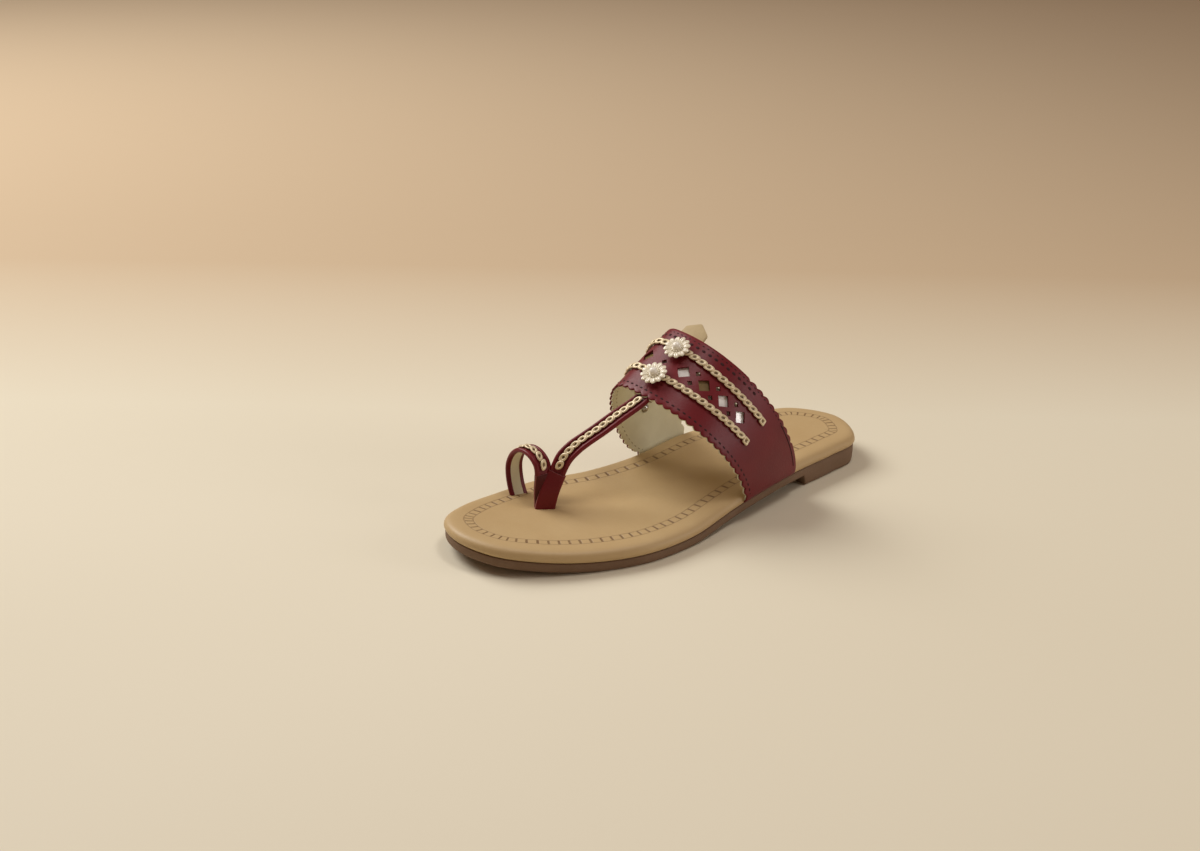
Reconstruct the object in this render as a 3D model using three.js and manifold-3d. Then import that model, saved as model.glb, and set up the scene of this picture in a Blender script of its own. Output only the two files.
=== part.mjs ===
// A left kolhapuri sandal with an instep band, a T-strap and a loop for the big toe.
// Millimetres, +Z up. The toe points along -Y, the heel along +Y, and the outer side of the foot along +X.
// The origin is on the ground, under the middle of the sandal's length and width. The shapes below are drawn
// with x = 0 on the heel's middle, and each finished piece is moved by MIDDLE_X.
import * as THREE from "three";
import { mergeVertices } from "three/addons/utils/BufferGeometryUtils.js";
import Module from "manifold-3d";

const wasm = await Module();
wasm.setup();

// Driving dimensions of the sole
const SOLE_LENGTH = 250;
const MIDDLE_X = 3.57;
const OUTSOLE_THICKNESS = 4.8;
const OUTSOLE_INSET = 0.6;
const HEEL_SEAT_HEIGHT = 10.4;
const TOE_SPRING = 6.2;
const TOE_SPRING_END = 62;
const SHANK_START = 90;
const SHANK_END = 170;
const HEEL_BREAST = 193;
const BREAST_SLANT = 0.8;
const FOOTBED_THICKNESS = 5.8;
const SEAT_GAP = 0.3;

// Driving dimensions of the upper
const BAND_WALL = 2.0;
const TAB_THICKNESS = 1.6;
const SCALLOP_PITCH = 5;
const SCALLOP_DEPTH = 1.3;
const REAR_SCALLOP_DEPTH = 1.1;
const REAR_SCALLOPS_FROM = 41;
const REAR_SCALLOPS_TO = 85;
const BAND_COLUMNS = 6;
const POINTS_PER_SCALLOP = 3;
const CENTRE_LINE = 7.8;
const DIAMOND_ROW = 0.525;
const SMALL_ROW_OFFSET = 0.08;
const BIG_DIAMOND = 5.6;
const SMALL_DIAMOND = 2.3;
const DIAMOND_PITCH = 12.2;
const DIAMONDS_EACH_SIDE = 4;
const STRAP_HALF_WIDTH = 4.7;
const CHAIN_WIDTH = 4.4;
const CHAIN_HEIGHT = 1.7;
const CHAIN_LINK = 4.2;
const CHAIN_REACH = 61;
const CHANNEL_FLOOR = 0.35;
const TABLE_SAMPLES = 200;
const T_STEPS = 33;
const LOOP_STEPS = 39;
const MIRROR_THICKNESS = 0.6;
const MIRROR_MARGIN = 4.8;
const MIRROR_COLUMNS = [0.4, 0.525, 0.65];
const MIRROR_STEPS = 36;
const FLORET_PETALS = 12;
const FLORET_SEGMENTS = 48;
const PEARL_SEGMENTS = 14;
const RIVET_SEGMENTS = 12;
const FLORET_MIDDLE_HEIGHT = 1.1;
const SMALLEST_DETAIL = 0.03;
const OUTLINE_SAMPLES = 1200;
const OUTLINE_MIDDLE_X = -3;
const SOLE_COLUMNS = 6;

// Half widths of the footbed's edge, at distances from the toe tip
const OUTLINE = [
  { fromToe: 6.3, medial: -25.2, lateral: 14.4 },
  { fromToe: 24, medial: -36.5, lateral: 29.8 },
  { fromToe: 46, medial: -41.4, lateral: 41.2 },
  { fromToe: 72, medial: -42.3, lateral: 49.0 },
  { fromToe: 100, medial: -35.4, lateral: 48.8 },
  { fromToe: 130, medial: -31.0, lateral: 43.0 },
  { fromToe: 160, medial: -32.8, lateral: 38.2 },
  { fromToe: 190, medial: -32.8, lateral: 32.8 },
  { fromToe: 215, medial: -32.0, lateral: 29.8 },
  { fromToe: 237.5, medial: -24.3, lateral: 24.7 },
];
const TOE_TIP_X = -6;
const HEEL_TIP_X = 0;

// Side profile of each layer of the sole: inset from its outline, and height as a share of its thickness
const OUTSOLE_EDGE = [
  { inset: 1.1, rise: 0 },
  { inset: 0.3, rise: 0.12 },
  { inset: 0, rise: 0.5 },
  { inset: 0, rise: 1 },
];
const FOOTBED_EDGE = [
  { inset: 1.4, rise: 0 },
  { inset: 0.4, rise: 0.08 },
  { inset: 0, rise: 0.26 },
  { inset: 0.15, rise: 0.48 },
  { inset: 0.8, rise: 0.7 },
  { inset: 2.0, rise: 0.87 },
  { inset: 3.7, rise: 0.965 },
  { inset: 5.8, rise: 1 },
];

// Front and rear edge of the instep band: ridge point, squareness and forward lean of each side, and base
const BAND_EDGES = {
  front: { ridgeX: -5.5, ridgeY: -24, ridgeZ: 65, squareLateral: 2.5, squareMedial: 2.1,
    leanLateral: 1.1, leanMedial: 0.6, baseLateral: 13, baseMedial: 6.7 },
  rear: { ridgeX: -9, ridgeY: 12, ridgeZ: 86.5, squareLateral: 2.5, squareMedial: 2.2,
    leanLateral: 1.25, leanMedial: 0.9, baseLateral: 55.3, baseMedial: 42.3 },
};
// How the band's end turns under the footbed: distance out from its edge, height over the outsole
const TUCK_OUTER = [
  { out: -9, up: 0.3 },
  { out: -2.4, up: 0.3 },
  { out: -0.3, up: 0.8 },
  { out: 1.3, up: 1.9 },
  { out: 2.1, up: 3.6 },
];
const TUCK_INNER = [
  { out: -9, up: 0.3 + TAB_THICKNESS },
  { out: -2.4, up: 0.3 + TAB_THICKNESS },
  { out: -1.2, up: 2.3 },
  { out: -0.2, up: 3.1 },
  { out: 0.2, up: 4.2 },
];
const BASE_OUT = 2.3;
const BASE_UP = 5.5;

// The T-strap's middle line from the slot in the footbed to the band, with the way its width runs in plan
const T_STRAP = [
  { x: -10.6, y: -69.8, z: 5.6, acrossX: 0.54, acrossY: 0.84, channel: 0, width: 0.96 },
  { x: -10.6, y: -69.6, z: 11, acrossX: 0.54, acrossY: 0.84, channel: 0, width: 0.96 },
  { x: -9.9, y: -67.4, z: 19.5, acrossX: 0.66, acrossY: 0.75, channel: 0, width: 0.9 },
  { x: -9.1, y: -63.7, z: 28, acrossX: 0.78, acrossY: 0.62, channel: 0.3, width: 0.86 },
  { x: -8.5, y: -62.0, z: 32.4, acrossX: 0.84, acrossY: 0.54, channel: 1, width: 0.9 },
  { x: -7.9, y: -59.7, z: 36.4, acrossX: 0.9, acrossY: 0.43, channel: 1, width: 0.96 },
  { x: -6.3, y: -54.9, z: 41.0, acrossX: 0.95, acrossY: 0.3, channel: 1, width: 1 },
  { x: -4.2, y: -49.4, z: 44.8, acrossX: 0.98, acrossY: 0.2, channel: 1, width: 1 },
  { x: -2.0, y: -43.9, z: 48.4, acrossX: 0.98, acrossY: 0.2, channel: 1, width: 1 },
  { x: 1.2, y: -35.6, z: 54.2, acrossX: 0.98, acrossY: 0.2, channel: 1, width: 1 },
];
// The big toe's loop, from the same slot over the toe to its own slot at the inner side
const TOE_LOOP = [
  { x: -12.2, y: -69.4, z: 5.6, acrossX: 0.54, acrossY: 0.84, channel: 0, width: 0.96 },
  { x: -12.2, y: -69.2, z: 11, acrossX: 0.54, acrossY: 0.84, channel: 0, width: 0.96 },
  { x: -12.9, y: -69.0, z: 20, acrossX: 0.3, acrossY: 0.95, channel: 0, width: 0.98 },
  { x: -12.6, y: -69.2, z: 28, acrossX: 0.05, acrossY: 1, channel: 0.3, width: 1 },
  { x: -13.6, y: -69.2, z: 32.8, acrossX: 0, acrossY: 1, channel: 1, width: 1 },
  { x: -17.2, y: -69.2, z: 36.0, acrossX: 0, acrossY: 1, channel: 1, width: 1 },
  { x: -22.2, y: -69.2, z: 37.4, acrossX: 0, acrossY: 1, channel: 1, width: 1 },
  { x: -27.6, y: -69.3, z: 36.6, acrossX: 0, acrossY: 1, channel: 1, width: 1 },
  { x: -32.6, y: -69.5, z: 32.9, acrossX: 0.03, acrossY: 1, channel: 1, width: 1 },
  { x: -35.6, y: -69.8, z: 26.6, acrossX: 0.06, acrossY: 1, channel: 1, width: 1 },
  { x: -35.4, y: -70.0, z: 20.8, acrossX: 0.1, acrossY: 1, channel: 1, width: 1 },
  { x: -33.6, y: -70.2, z: 15, acrossX: 0.12, acrossY: 0.99, channel: 1, width: 1 },
  { x: -31.4, y: -70.2, z: 10.4, acrossX: 0.14, acrossY: 0.99, channel: 0.5, width: 1 },
  { x: -29.6, y: -70.2, z: 5.6, acrossX: 0.14, acrossY: 0.99, channel: 0, width: 1 },
];
// Cross-section of a strap: across it and through it, with the chain's channel between its rolled rims
const STRAP_SECTION = [
  { across: 1, through: 0, channel: 0 },
  { across: 0.9, through: 1.0, channel: 0 },
  { across: 0.7, through: 1.25, channel: 0 },
  { across: 0.55, through: 1.1, channel: 0.75 },
  { across: -0.55, through: 1.1, channel: 0.75 },
  { across: -0.7, through: 1.25, channel: 0 },
  { across: -0.9, through: 1.0, channel: 0 },
  { across: -1, through: 0, channel: 0 },
  { across: -0.88, through: -0.95, channel: 0 },
  { across: 0.88, through: -0.95, channel: 0 },
];

// The two rivets inside the band: share of its width from the front edge, and distance past the ridge
const RIVETS = [
  { u: 0.49, distance: -52.5 },
  { u: 0.63, distance: -50.5 },
];

// The finish of each material
const COLOURS = {
  burgundy: { color: 0x6a1f27, roughness: 0.5, metalness: 0 },
  tan: { color: 0xb8925f, roughness: 0.55, metalness: 0 },
  brown: { color: 0x6b4f3b, roughness: 0.7, metalness: 0 },
  mirror: { color: 0xd8d8d2, roughness: 0.12, metalness: 1 },
  gold: { color: 0xcdb487, roughness: 0.4, metalness: 0.3 },
  cream: { color: 0xe6dcc0, roughness: 0.4, metalness: 0 },
  pearl: { color: 0xf2ead8, roughness: 0.2, metalness: 0 },
  steel: { color: 0xc9c8c2, roughness: 0.2, metalness: 1 },
  beige: { color: 0xb9a377, roughness: 0.6, metalness: 0 },
};

// Small helpers
const lerp = (a, b, t) => a + (b - a) * t;
const clamp01 = (t) => Math.min(1, Math.max(0, t));
const smooth = (t) => t * t * (3 - 2 * t);

function closedGeometry(positions, triangles) {
  const geometry = new THREE.BufferGeometry();
  geometry.setAttribute("position", new THREE.Float32BufferAttribute(positions, 3));
  geometry.setIndex(triangles);
  return geometry;
}

function toSolid(geometry) {
  const bare = geometry.clone();
  bare.deleteAttribute("normal");
  bare.deleteAttribute("uv");
  const merged = mergeVertices(bare, 1e-4);
  const mesh = new wasm.Mesh({
    numProp: 3,
    vertProperties: new Float32Array(merged.attributes.position.array),
    triVerts: new Uint32Array(merged.index.array),
  });
  return new wasm.Manifold(mesh);
}

function fromSolid(solid) {
  const mesh = solid.simplify(SMALLEST_DETAIL).getMesh();
  return closedGeometry(Array.from(mesh.vertProperties), Array.from(mesh.triVerts));
}

// Joins each ring of points to the next and closes both ends: with a fan from the first point where
// the end is flat, or with a strip between the ring's two halves where it is a thin curved wall
function loft(rings, thinEnds = false) {
  const count = rings[0].length;
  const positions = rings.flat().flatMap((p) => [p.x, p.y, p.z]);
  const triangles = [];
  for (let i = 0; i < rings.length - 1; i++) {
    const a = i * count;
    const b = a + count;
    for (let j = 0; j < count; j++) {
      const k = (j + 1) % count;
      triangles.push(a + j, a + k, b + k, a + j, b + k, b + j);
    }
  }
  const last = (rings.length - 1) * count;
  const close = (a, b, c) => triangles.push(a, c, b, last + a, last + b, last + c);
  if (thinEnds) {
    for (let j = 0; j < count / 2 - 1; j++) {
      close(j, j + 1, count - 2 - j);
      close(j, count - 2 - j, count - 1 - j);
    }
  } else {
    for (let j = 1; j < count - 1; j++) close(0, j, j + 1);
  }
  return closedGeometry(positions, triangles);
}

// Heights along the sole, by distance from the toe tip
const toeLift = (fromToe) => TOE_SPRING * clamp01((TOE_SPRING_END - fromToe) / TOE_SPRING_END) ** 2;
const SHANK_RISE = HEEL_SEAT_HEIGHT - OUTSOLE_THICKNESS;
const alongShank = (fromToe) => clamp01((fromToe - SHANK_START) / (SHANK_END - SHANK_START));
const shankLift = (fromToe) => SHANK_RISE * smooth(alongShank(fromToe));
const deckHeight = (y) => {
  const fromToe = y + SOLE_LENGTH / 2;
  return OUTSOLE_THICKNESS + toeLift(fromToe) + shankLift(fromToe);
};
function outsoleBottom(y) {
  const fromToe = y + SOLE_LENGTH / 2;
  const block = clamp01((fromToe - HEEL_BREAST) / BREAST_SLANT);
  return toeLift(fromToe) + shankLift(fromToe) * (1 - block);
}

// The footbed's outline as one closed curve, medial side first from toe to heel
const outlineCurve = new THREE.CatmullRomCurve3(
  [
    new THREE.Vector3(TOE_TIP_X, 0, 0),
    ...OUTLINE.map((row) => new THREE.Vector3(row.medial, row.fromToe, 0)),
    new THREE.Vector3(HEEL_TIP_X, SOLE_LENGTH, 0),
    ...OUTLINE.map((row) => new THREE.Vector3(row.lateral, row.fromToe, 0)).reverse(),
  ],
  true,
  "centripetal",
);
const outlineSamples = outlineCurve.getPoints(OUTLINE_SAMPLES);

// The footbed's edge at y, on the lateral side (side 1) or the medial side (side -1)
function edgeX(y, side) {
  const fromToe = y + SOLE_LENGTH / 2;
  const ofSide = outlineSamples.filter((p) => Math.sign(p.x - OUTLINE_MIDDLE_X) === side);
  const gap = (p) => Math.abs(p.y - fromToe);
  return ofSide.reduce((best, p) => (gap(p) < gap(best) ? p : best)).x;
}

// Stations along the sole: close together where the outline turns, at the toe, heel and breast
function soleStations() {
  const stations = [0.5, 2, 5, 9.5, 15, 22, 30, 39, 49, 60, 72, 84, 96, 108, 120, 132, 144, 156, 168, 180];
  stations.push(HEEL_BREAST, HEEL_BREAST + BREAST_SLANT);
  stations.push(202, 211, 219, 226, 232.5, 238, 242.5, 246, 248.5, 249.6);
  return stations;
}

// A ring of outline points, one medial and one lateral at each station, moved inwards by an inset
function outlineRing(inset) {
  const stations = soleStations();
  const pick = (side) =>
    stations.map((fromToe) => {
      const y = fromToe - SOLE_LENGTH / 2;
      return new THREE.Vector2(edgeX(y, side), y);
    });
  const medial = pick(-1);
  const lateral = pick(1).reverse();
  const ring = [...medial, ...lateral];
  const count = ring.length;
  return ring.map((p, i) => {
    const before = ring[(i + count - 1) % count];
    const after = ring[(i + 1) % count];
    const along = after.clone().sub(before).normalize();
    const inward = new THREE.Vector2(along.y, -along.x);
    return p.clone().addScaledVector(inward, inset);
  });
}

// A layer of the sole: rings up its side, and rungs across its bottom and its top
function soleLayer(edge, baseInset, bottomAt, topAt) {
  const rings = edge.map(({ inset, rise }) =>
    outlineRing(baseInset + inset).map((p) => {
      const z = lerp(bottomAt(p.y), topAt(p.y), rise);
      return new THREE.Vector3(p.x, p.y, z);
    }));
  const count = rings[0].length;
  const rungs = count / 2;
  const positions = rings.flat().flatMap((p) => [p.x, p.y, p.z]);
  const triangles = [];
  for (let i = 0; i < rings.length - 1; i++) {
    for (let j = 0; j < count; j++) {
      const a = i * count + j;
      const b = i * count + ((j + 1) % count);
      triangles.push(a, a + count, b + count, a, b + count, b);
    }
  }
  const cap = (ringIndex, heightAt, flip) => {
    const ring = rings[ringIndex];
    const rows = [];
    for (let k = 0; k < rungs; k++) {
      const pieces = k === 0 || k === rungs - 1 ? 1 : SOLE_COLUMNS;
      const row = [ringIndex * count + k];
      for (let m = 1; m < pieces; m++) {
        const p = ring[k].clone().lerp(ring[count - 1 - k], m / pieces);
        row.push(positions.length / 3);
        positions.push(p.x, p.y, heightAt(p.y));
      }
      row.push(ringIndex * count + count - 1 - k);
      rows.push(row);
    }
    const face = (a, b, c) => triangles.push(...(flip ? [a, c, b] : [a, b, c]));
    for (let k = 0; k < rungs - 1; k++) {
      const [near, far] = [rows[k], rows[k + 1]];
      for (let m = 0; m < SOLE_COLUMNS; m++) {
        if (near.length > 2 && far.length > 2) face(near[m], near[m + 1], far[m + 1]);
        if (far.length > 2) face(near.length > 2 ? near[m] : near[0], far[m + 1], far[m]);
        else face(near[m], near[m + 1], far[0]);
      }
      if (near.length === 2) face(near[0], near[1], far[SOLE_COLUMNS]);
      if (far.length === 2) face(near[SOLE_COLUMNS], far[1], far[0]);
    }
  };
  cap(0, bottomAt, true);
  cap(rings.length - 1, topAt, false);
  return closedGeometry(positions, triangles);
}

function outsole() {
  return soleLayer(OUTSOLE_EDGE, OUTSOLE_INSET, outsoleBottom, deckHeight);
}

// One arched line over the foot, u = 0 at the band's front edge and 1 at its rear edge
function bandRow(u) {
  const { front, rear } = BAND_EDGES;
  return Object.fromEntries(Object.keys(front).map((key) => [key, lerp(front[key], rear[key], u)]));
}

// The outer surface by angle: 0 at the base, 90 degrees at the ridge; side is 1 lateral, -1 medial
function archAngle(u, angle, side) {
  const row = bandRow(u);
  const baseY = side > 0 ? row.baseLateral : row.baseMedial;
  const square = side > 0 ? row.squareLateral : row.squareMedial;
  const lean = side > 0 ? row.leanLateral : row.leanMedial;
  const baseX = edgeX(baseY, side) + side * BASE_OUT;
  const baseZ = deckHeight(baseY) + BASE_UP;
  const c = Math.max(0, Math.cos(angle));
  const s = Math.max(0, Math.sin(angle));
  return new THREE.Vector3(
    lerp(row.ridgeX, baseX, c ** (2 / square)),
    lerp(row.ridgeY, baseY, 1 - s ** lean),
    lerp(baseZ, row.ridgeZ, s ** (2 / square)),
  );
}

// The same surface by distance: mm from the ridge, positive to the lateral side
const ARCH_STEPS = 160;
const archCache = new Map();
function archLine(u, side) {
  const key = `${u.toFixed(5)} ${side}`;
  if (!archCache.has(key)) {
    const points = [];
    const lengths = [0];
    for (let i = 0; i <= ARCH_STEPS; i++) {
      points.push(archAngle(u, (Math.PI / 2) * (1 - i / ARCH_STEPS), side));
      if (i > 0) lengths.push(lengths[i - 1] + points[i].distanceTo(points[i - 1]));
    }
    archCache.set(key, { points, lengths });
  }
  return archCache.get(key);
}

function halfLength(u, side) {
  return archLine(u, side).lengths[ARCH_STEPS];
}

function archPoint(u, distance) {
  const { points, lengths } = archLine(u, distance >= 0 ? 1 : -1);
  const target = Math.min(Math.abs(distance), lengths[ARCH_STEPS]);
  let low = 0;
  let high = ARCH_STEPS;
  while (high - low > 1) {
    const middle = (low + high) >> 1;
    if (lengths[middle] <= target) low = middle;
    else high = middle;
  }
  const share = (target - lengths[low]) / Math.max(1e-9, lengths[high] - lengths[low]);
  return points[low].clone().lerp(points[high], share);
}

function archNormal(u, distance) {
  const limit = distance >= 0 ? halfLength(u, 1) : halfLength(u, -1);
  const side = distance >= 0 ? 1 : -1;
  const d = side * Math.min(Math.abs(distance), limit - 0.6);
  const along = archPoint(u, d + 0.5).sub(archPoint(u, d - 0.5));
  const across = archPoint(u + 0.01, d).sub(archPoint(u - 0.01, d));
  return along.cross(across).normalize();
}

// A point under the band's outer surface by a depth, or over it where the depth is negative
function bandPoint(u, distance, depth) {
  return archPoint(u, distance).addScaledVector(archNormal(u, distance), -depth);
}

const bandWidthAt = (distance) => archPoint(0, distance).distanceTo(archPoint(1, distance));

// Scallops pinked into an edge, by their count along it: 0 at a point, 1 in the bay between two
const scallop = (place) => 1 - Math.abs(Math.sin(Math.PI * place));

// The tucked end of the band, from the tab under the footbed up to the arch
function tuckPoints(u, side, table) {
  const row = bandRow(u);
  const y = side > 0 ? row.baseLateral : row.baseMedial;
  const edge = edgeX(y, side);
  return table.map(({ out, up }) => new THREE.Vector3(edge + side * out, y, deckHeight(y) + up));
}

// The band as a solid: its outer and inner surface at a grid of u and distance, closed round the rim.
// As a cutter it is grown by a clearance all round and has straight edges.
function bandSolid({ grow = 0, scalloped = true } = {}) {
  const columns = BAND_COLUMNS;
  const growAcross = grow / bandWidthAt(0);
  const lines = [];
  const uAt = (j, distance, place) => {
    const share = j / columns;
    if (!scalloped) return lerp(-growAcross, 1 + growAcross, share);
    const width = bandWidthAt(distance);
    const down = Math.abs(distance);
    const rearDepth = down > REAR_SCALLOPS_FROM && down < REAR_SCALLOPS_TO ? REAR_SCALLOP_DEPTH : 0;
    const frontCut = (SCALLOP_DEPTH * scallop(place)) / width;
    const rearCut = (rearDepth * scallop(place)) / width;
    return lerp(frontCut, 1 - rearCut, share);
  };
  const addTuck = (side) => {
    for (let i = 0; i < TUCK_OUTER.length; i++) {
      const line = { outer: [], inner: [] };
      for (let j = 0; j <= columns; j++) {
        const u = uAt(j, 0, 0.5);
        const outer = tuckPoints(u, side, TUCK_OUTER)[i];
        const inner = tuckPoints(u, side, TUCK_INNER)[i];
        const through = outer.clone().sub(inner).normalize();
        outer.addScaledVector(through, grow);
        inner.addScaledVector(through, -grow);
        if (i === 0) {
          outer.x -= side * grow;
          inner.x -= side * grow;
        }
        line.outer.push(outer);
        line.inner.push(inner);
      }
      lines.push(line);
    }
  };
  const addHalf = (side, from, to, step) => {
    const scallops = Math.round(halfLength(0.5, side) / SCALLOP_PITCH);
    const rows = scallops * POINTS_PER_SCALLOP;
    for (let i = from(rows); i !== to(rows); i += step) {
      const line = { outer: [], inner: [] };
      for (let j = 0; j <= columns; j++) {
        const middle = (side * halfLength(0.5, side) * i) / rows;
        const u = uAt(j, middle, i / POINTS_PER_SCALLOP);
        const distance = (side * halfLength(u, side) * i) / rows;
        line.outer.push(bandPoint(u, distance, -grow));
        line.inner.push(bandPoint(u, distance, BAND_WALL + grow));
      }
      lines.push(line);
    }
  };
  addTuck(1);
  addHalf(1, (rows) => rows, () => 0, -1);
  addHalf(-1, () => 0, (rows) => rows + 1, 1);
  const medialTuckStart = lines.length;
  addTuck(-1);
  const reversed = lines.splice(medialTuckStart).reverse();
  lines.push(...reversed);
  const rings = lines.map(({ outer, inner }) => [...outer, ...inner.reverse()]);
  return loft(rings, true);
}

// A diamond cutter that goes through the band's wall, its corners along and across the band
function diamondCutter(u, distance, size) {
  const centre = bandPoint(u, distance, 0);
  const normal = archNormal(u, distance);
  const across = archPoint(u + 0.02, distance).sub(archPoint(u - 0.02, distance)).normalize();
  const along = across.clone().cross(normal).normalize();
  const half = size * Math.SQRT1_2;
  const ring = (height) =>
    [[1, 0], [0, 1], [-1, 0], [0, -1]].map(([a, b]) =>
      centre.clone().addScaledVector(along, a * half).addScaledVector(across, b * half)
        .addScaledVector(normal, height));
  return toSolid(loft([ring(-4), ring(3)]));
}

// Where the diamonds lie: u, distance from the ridge and size
function diamondPlaces() {
  const places = [{ u: DIAMOND_ROW, distance: CENTRE_LINE, size: SMALL_DIAMOND }];
  for (const side of [1, -1]) {
    for (let i = 1; i <= DIAMONDS_EACH_SIDE; i++) {
      const distance = CENTRE_LINE + side * DIAMOND_PITCH * i;
      places.push({ u: DIAMOND_ROW, distance, size: BIG_DIAMOND });
      if (i < DIAMONDS_EACH_SIDE) {
        const between = distance + (side * DIAMOND_PITCH) / 2;
        places.push({ u: DIAMOND_ROW + SMALL_ROW_OFFSET, distance: between, size: SMALL_DIAMOND });
        places.push({ u: DIAMOND_ROW - SMALL_ROW_OFFSET, distance: between, size: SMALL_DIAMOND });
      }
    }
  }
  return places;
}

// A strap swept along its table of rows, grown by a clearance where it is used as a cutter
function strapRows(table, steps) {
  const curve = new THREE.CatmullRomCurve3(table.map((row) => new THREE.Vector3(row.x, row.y, row.z)));
  const rows = [];
  for (let i = 0; i <= steps; i++) {
    const t = i / steps;
    const place = t * (table.length - 1);
    const low = Math.min(table.length - 2, Math.floor(place));
    const share = place - low;
    const column = (key) => lerp(table[low][key], table[low + 1][key], share);
    const along = curve.getTangent(t);
    const across = new THREE.Vector3(column("acrossX"), column("acrossY"), 0);
    across.addScaledVector(along, -across.dot(along)).normalize();
    const up = across.clone().cross(along).normalize();
    const centre = curve.getPoint(t);
    rows.push({ centre, across, up, channel: column("channel"), width: column("width") });
  }
  return rows;
}

function strapSolid(table, steps, grow = 0) {
  const rings = strapRows(table, steps).map(({ centre, across, up, channel, width }) =>
    STRAP_SECTION.map((corner) => {
      const a = corner.across * STRAP_HALF_WIDTH * width + Math.sign(corner.across) * grow;
      const t = corner.through - corner.channel * channel + Math.sign(corner.through) * grow;
      return centre.clone().addScaledVector(across, a).addScaledVector(up, t);
    }).reverse());
  return toSolid(loft(rings));
}

// The T-strap's rows, ended by two rows under the band's wall
function tStrapTable() {
  const end = (u, distance, depth) => {
    const p = bandPoint(u, distance, depth);
    const q = bandPoint(u, distance + 1, depth).sub(p).normalize();
    return { x: p.x, y: p.y, z: p.z, acrossX: q.x, acrossY: q.y, channel: 1, width: 1 };
  };
  return [
    ...T_STRAP,
    end(0, 10.3, BAND_WALL + 1.15),
    end(0.12, 9.4, BAND_WALL + 0.9),
    end(0.24, 8.6, BAND_WALL + 0.7),
  ];
}

function upper() {
  let solid = toSolid(bandSolid());
  for (const { u, distance, size } of diamondPlaces()) {
    solid = solid.subtract(diamondCutter(u, distance, size));
  }
  solid = solid.add(strapSolid(tStrapTable(), T_STEPS));
  solid = solid.add(strapSolid(TOE_LOOP, LOOP_STEPS));
  return fromSolid(solid);
}

// The footbed, with slots for the strap ends and a recess for each end of the band
function footbed() {
  const bottom = (y) => deckHeight(y) + SEAT_GAP;
  const top = (y) => deckHeight(y) + SEAT_GAP + FOOTBED_THICKNESS;
  let solid = toSolid(soleLayer(FOOTBED_EDGE, 0, bottom, top));
  solid = solid.subtract(toSolid(bandSolid({ grow: SEAT_GAP, scalloped: false })));
  solid = solid.subtract(strapSolid(tStrapTable(), T_STEPS, SEAT_GAP));
  solid = solid.subtract(strapSolid(TOE_LOOP, LOOP_STEPS, SEAT_GAP));
  return fromSolid(solid);
}

// The silvered sheet that shows through the diamonds, close under the band's wall
function mirrorUnderlay() {
  const reach = DIAMOND_PITCH * DIAMONDS_EACH_SIDE + MIRROR_MARGIN;
  const top = BAND_WALL + SEAT_GAP;
  const rings = [];
  for (let i = 0; i <= MIRROR_STEPS; i++) {
    const distance = CENTRE_LINE + lerp(reach, -reach, i / MIRROR_STEPS);
    const over = MIRROR_COLUMNS.map((u) => bandPoint(u, distance, top));
    const under = MIRROR_COLUMNS.map((u) => bandPoint(u, distance, top + MIRROR_THICKNESS));
    rings.push([...over, ...under.reverse()]);
  }
  return loft(rings, true);
}

// A beaded braid: a raised strip over a row of frames, waisted between its links
function chainStrip(frameAt, length) {
  const links = Math.round(length / CHAIN_LINK);
  const rings = [];
  for (let i = 0; i <= links * 2; i++) {
    const { centre, across, up } = frameAt((i / (links * 2)) * length);
    const half = (CHAIN_WIDTH / 2) * (i % 2 === 0 ? 0.78 : 1);
    const corner = (a, h) => centre.clone().addScaledVector(across, a).addScaledVector(up, h);
    rings.push([
      corner(half, 0),
      corner(half * 0.8, CHAIN_HEIGHT),
      corner(-half * 0.8, CHAIN_HEIGHT),
      corner(-half, 0),
    ].reverse());
  }
  return loft(rings);
}

// The two braids over the band keep to a line of u that bends a little towards the ridge
const frontChainU = (distance) => 0.32 + 1e-5 * (distance - CENTRE_LINE) ** 2;
const rearChainU = (distance) => 0.712 + 0.046 * Math.exp(-(((distance - CENTRE_LINE) / 25) ** 2));

function bandChain(lineU) {
  return chainStrip((mm) => {
    const distance = CENTRE_LINE + CHAIN_REACH - mm;
    const at = (d) => bandPoint(lineU(d), d, -SEAT_GAP);
    const along = at(distance - 0.5).sub(at(distance + 0.5)).normalize();
    const up = archNormal(lineU(distance), distance);
    return { centre: at(distance), across: up.clone().cross(along).negate(), up };
  }, 2 * CHAIN_REACH);
}

// A braid in a strap's channel, between two of the table's rows
function strapChain(table, fromRow, toRow) {
  const sample = (row) => Math.round((row / (table.length - 1)) * TABLE_SAMPLES);
  const rows = strapRows(table, TABLE_SAMPLES).slice(sample(fromRow), sample(toRow) + 1);
  const lengths = [0];
  for (let i = 1; i < rows.length; i++) {
    lengths.push(lengths[i - 1] + rows[i].centre.distanceTo(rows[i - 1].centre));
  }
  const total = lengths[lengths.length - 1];
  return chainStrip((mm) => {
    const { centre, across, up } = rows[lengths.findIndex((length) => length >= mm - 1e-6)];
    return { centre: centre.clone().addScaledVector(up, CHANNEL_FLOOR + SEAT_GAP), across, up };
  }, total);
}

// A round ornament on a flat base: rings of radius and height round the normal at a place
function ornament(centre, normal, profile, petals, segments) {
  const sideways = new THREE.Vector3(1, 0, 0).addScaledVector(normal, -normal.x).normalize();
  const other = normal.clone().cross(sideways);
  const ring = ({ radius, height, ruffle }) =>
    Array.from({ length: segments }, (_, i) => {
      const angle = (2 * Math.PI * i) / segments;
      const r = radius * (1 + ruffle * Math.cos(petals * angle));
      return centre.clone()
        .addScaledVector(sideways, r * Math.cos(angle))
        .addScaledVector(other, r * Math.sin(angle))
        .addScaledVector(normal, height);
    });
  return loft(profile.map(ring));
}

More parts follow.
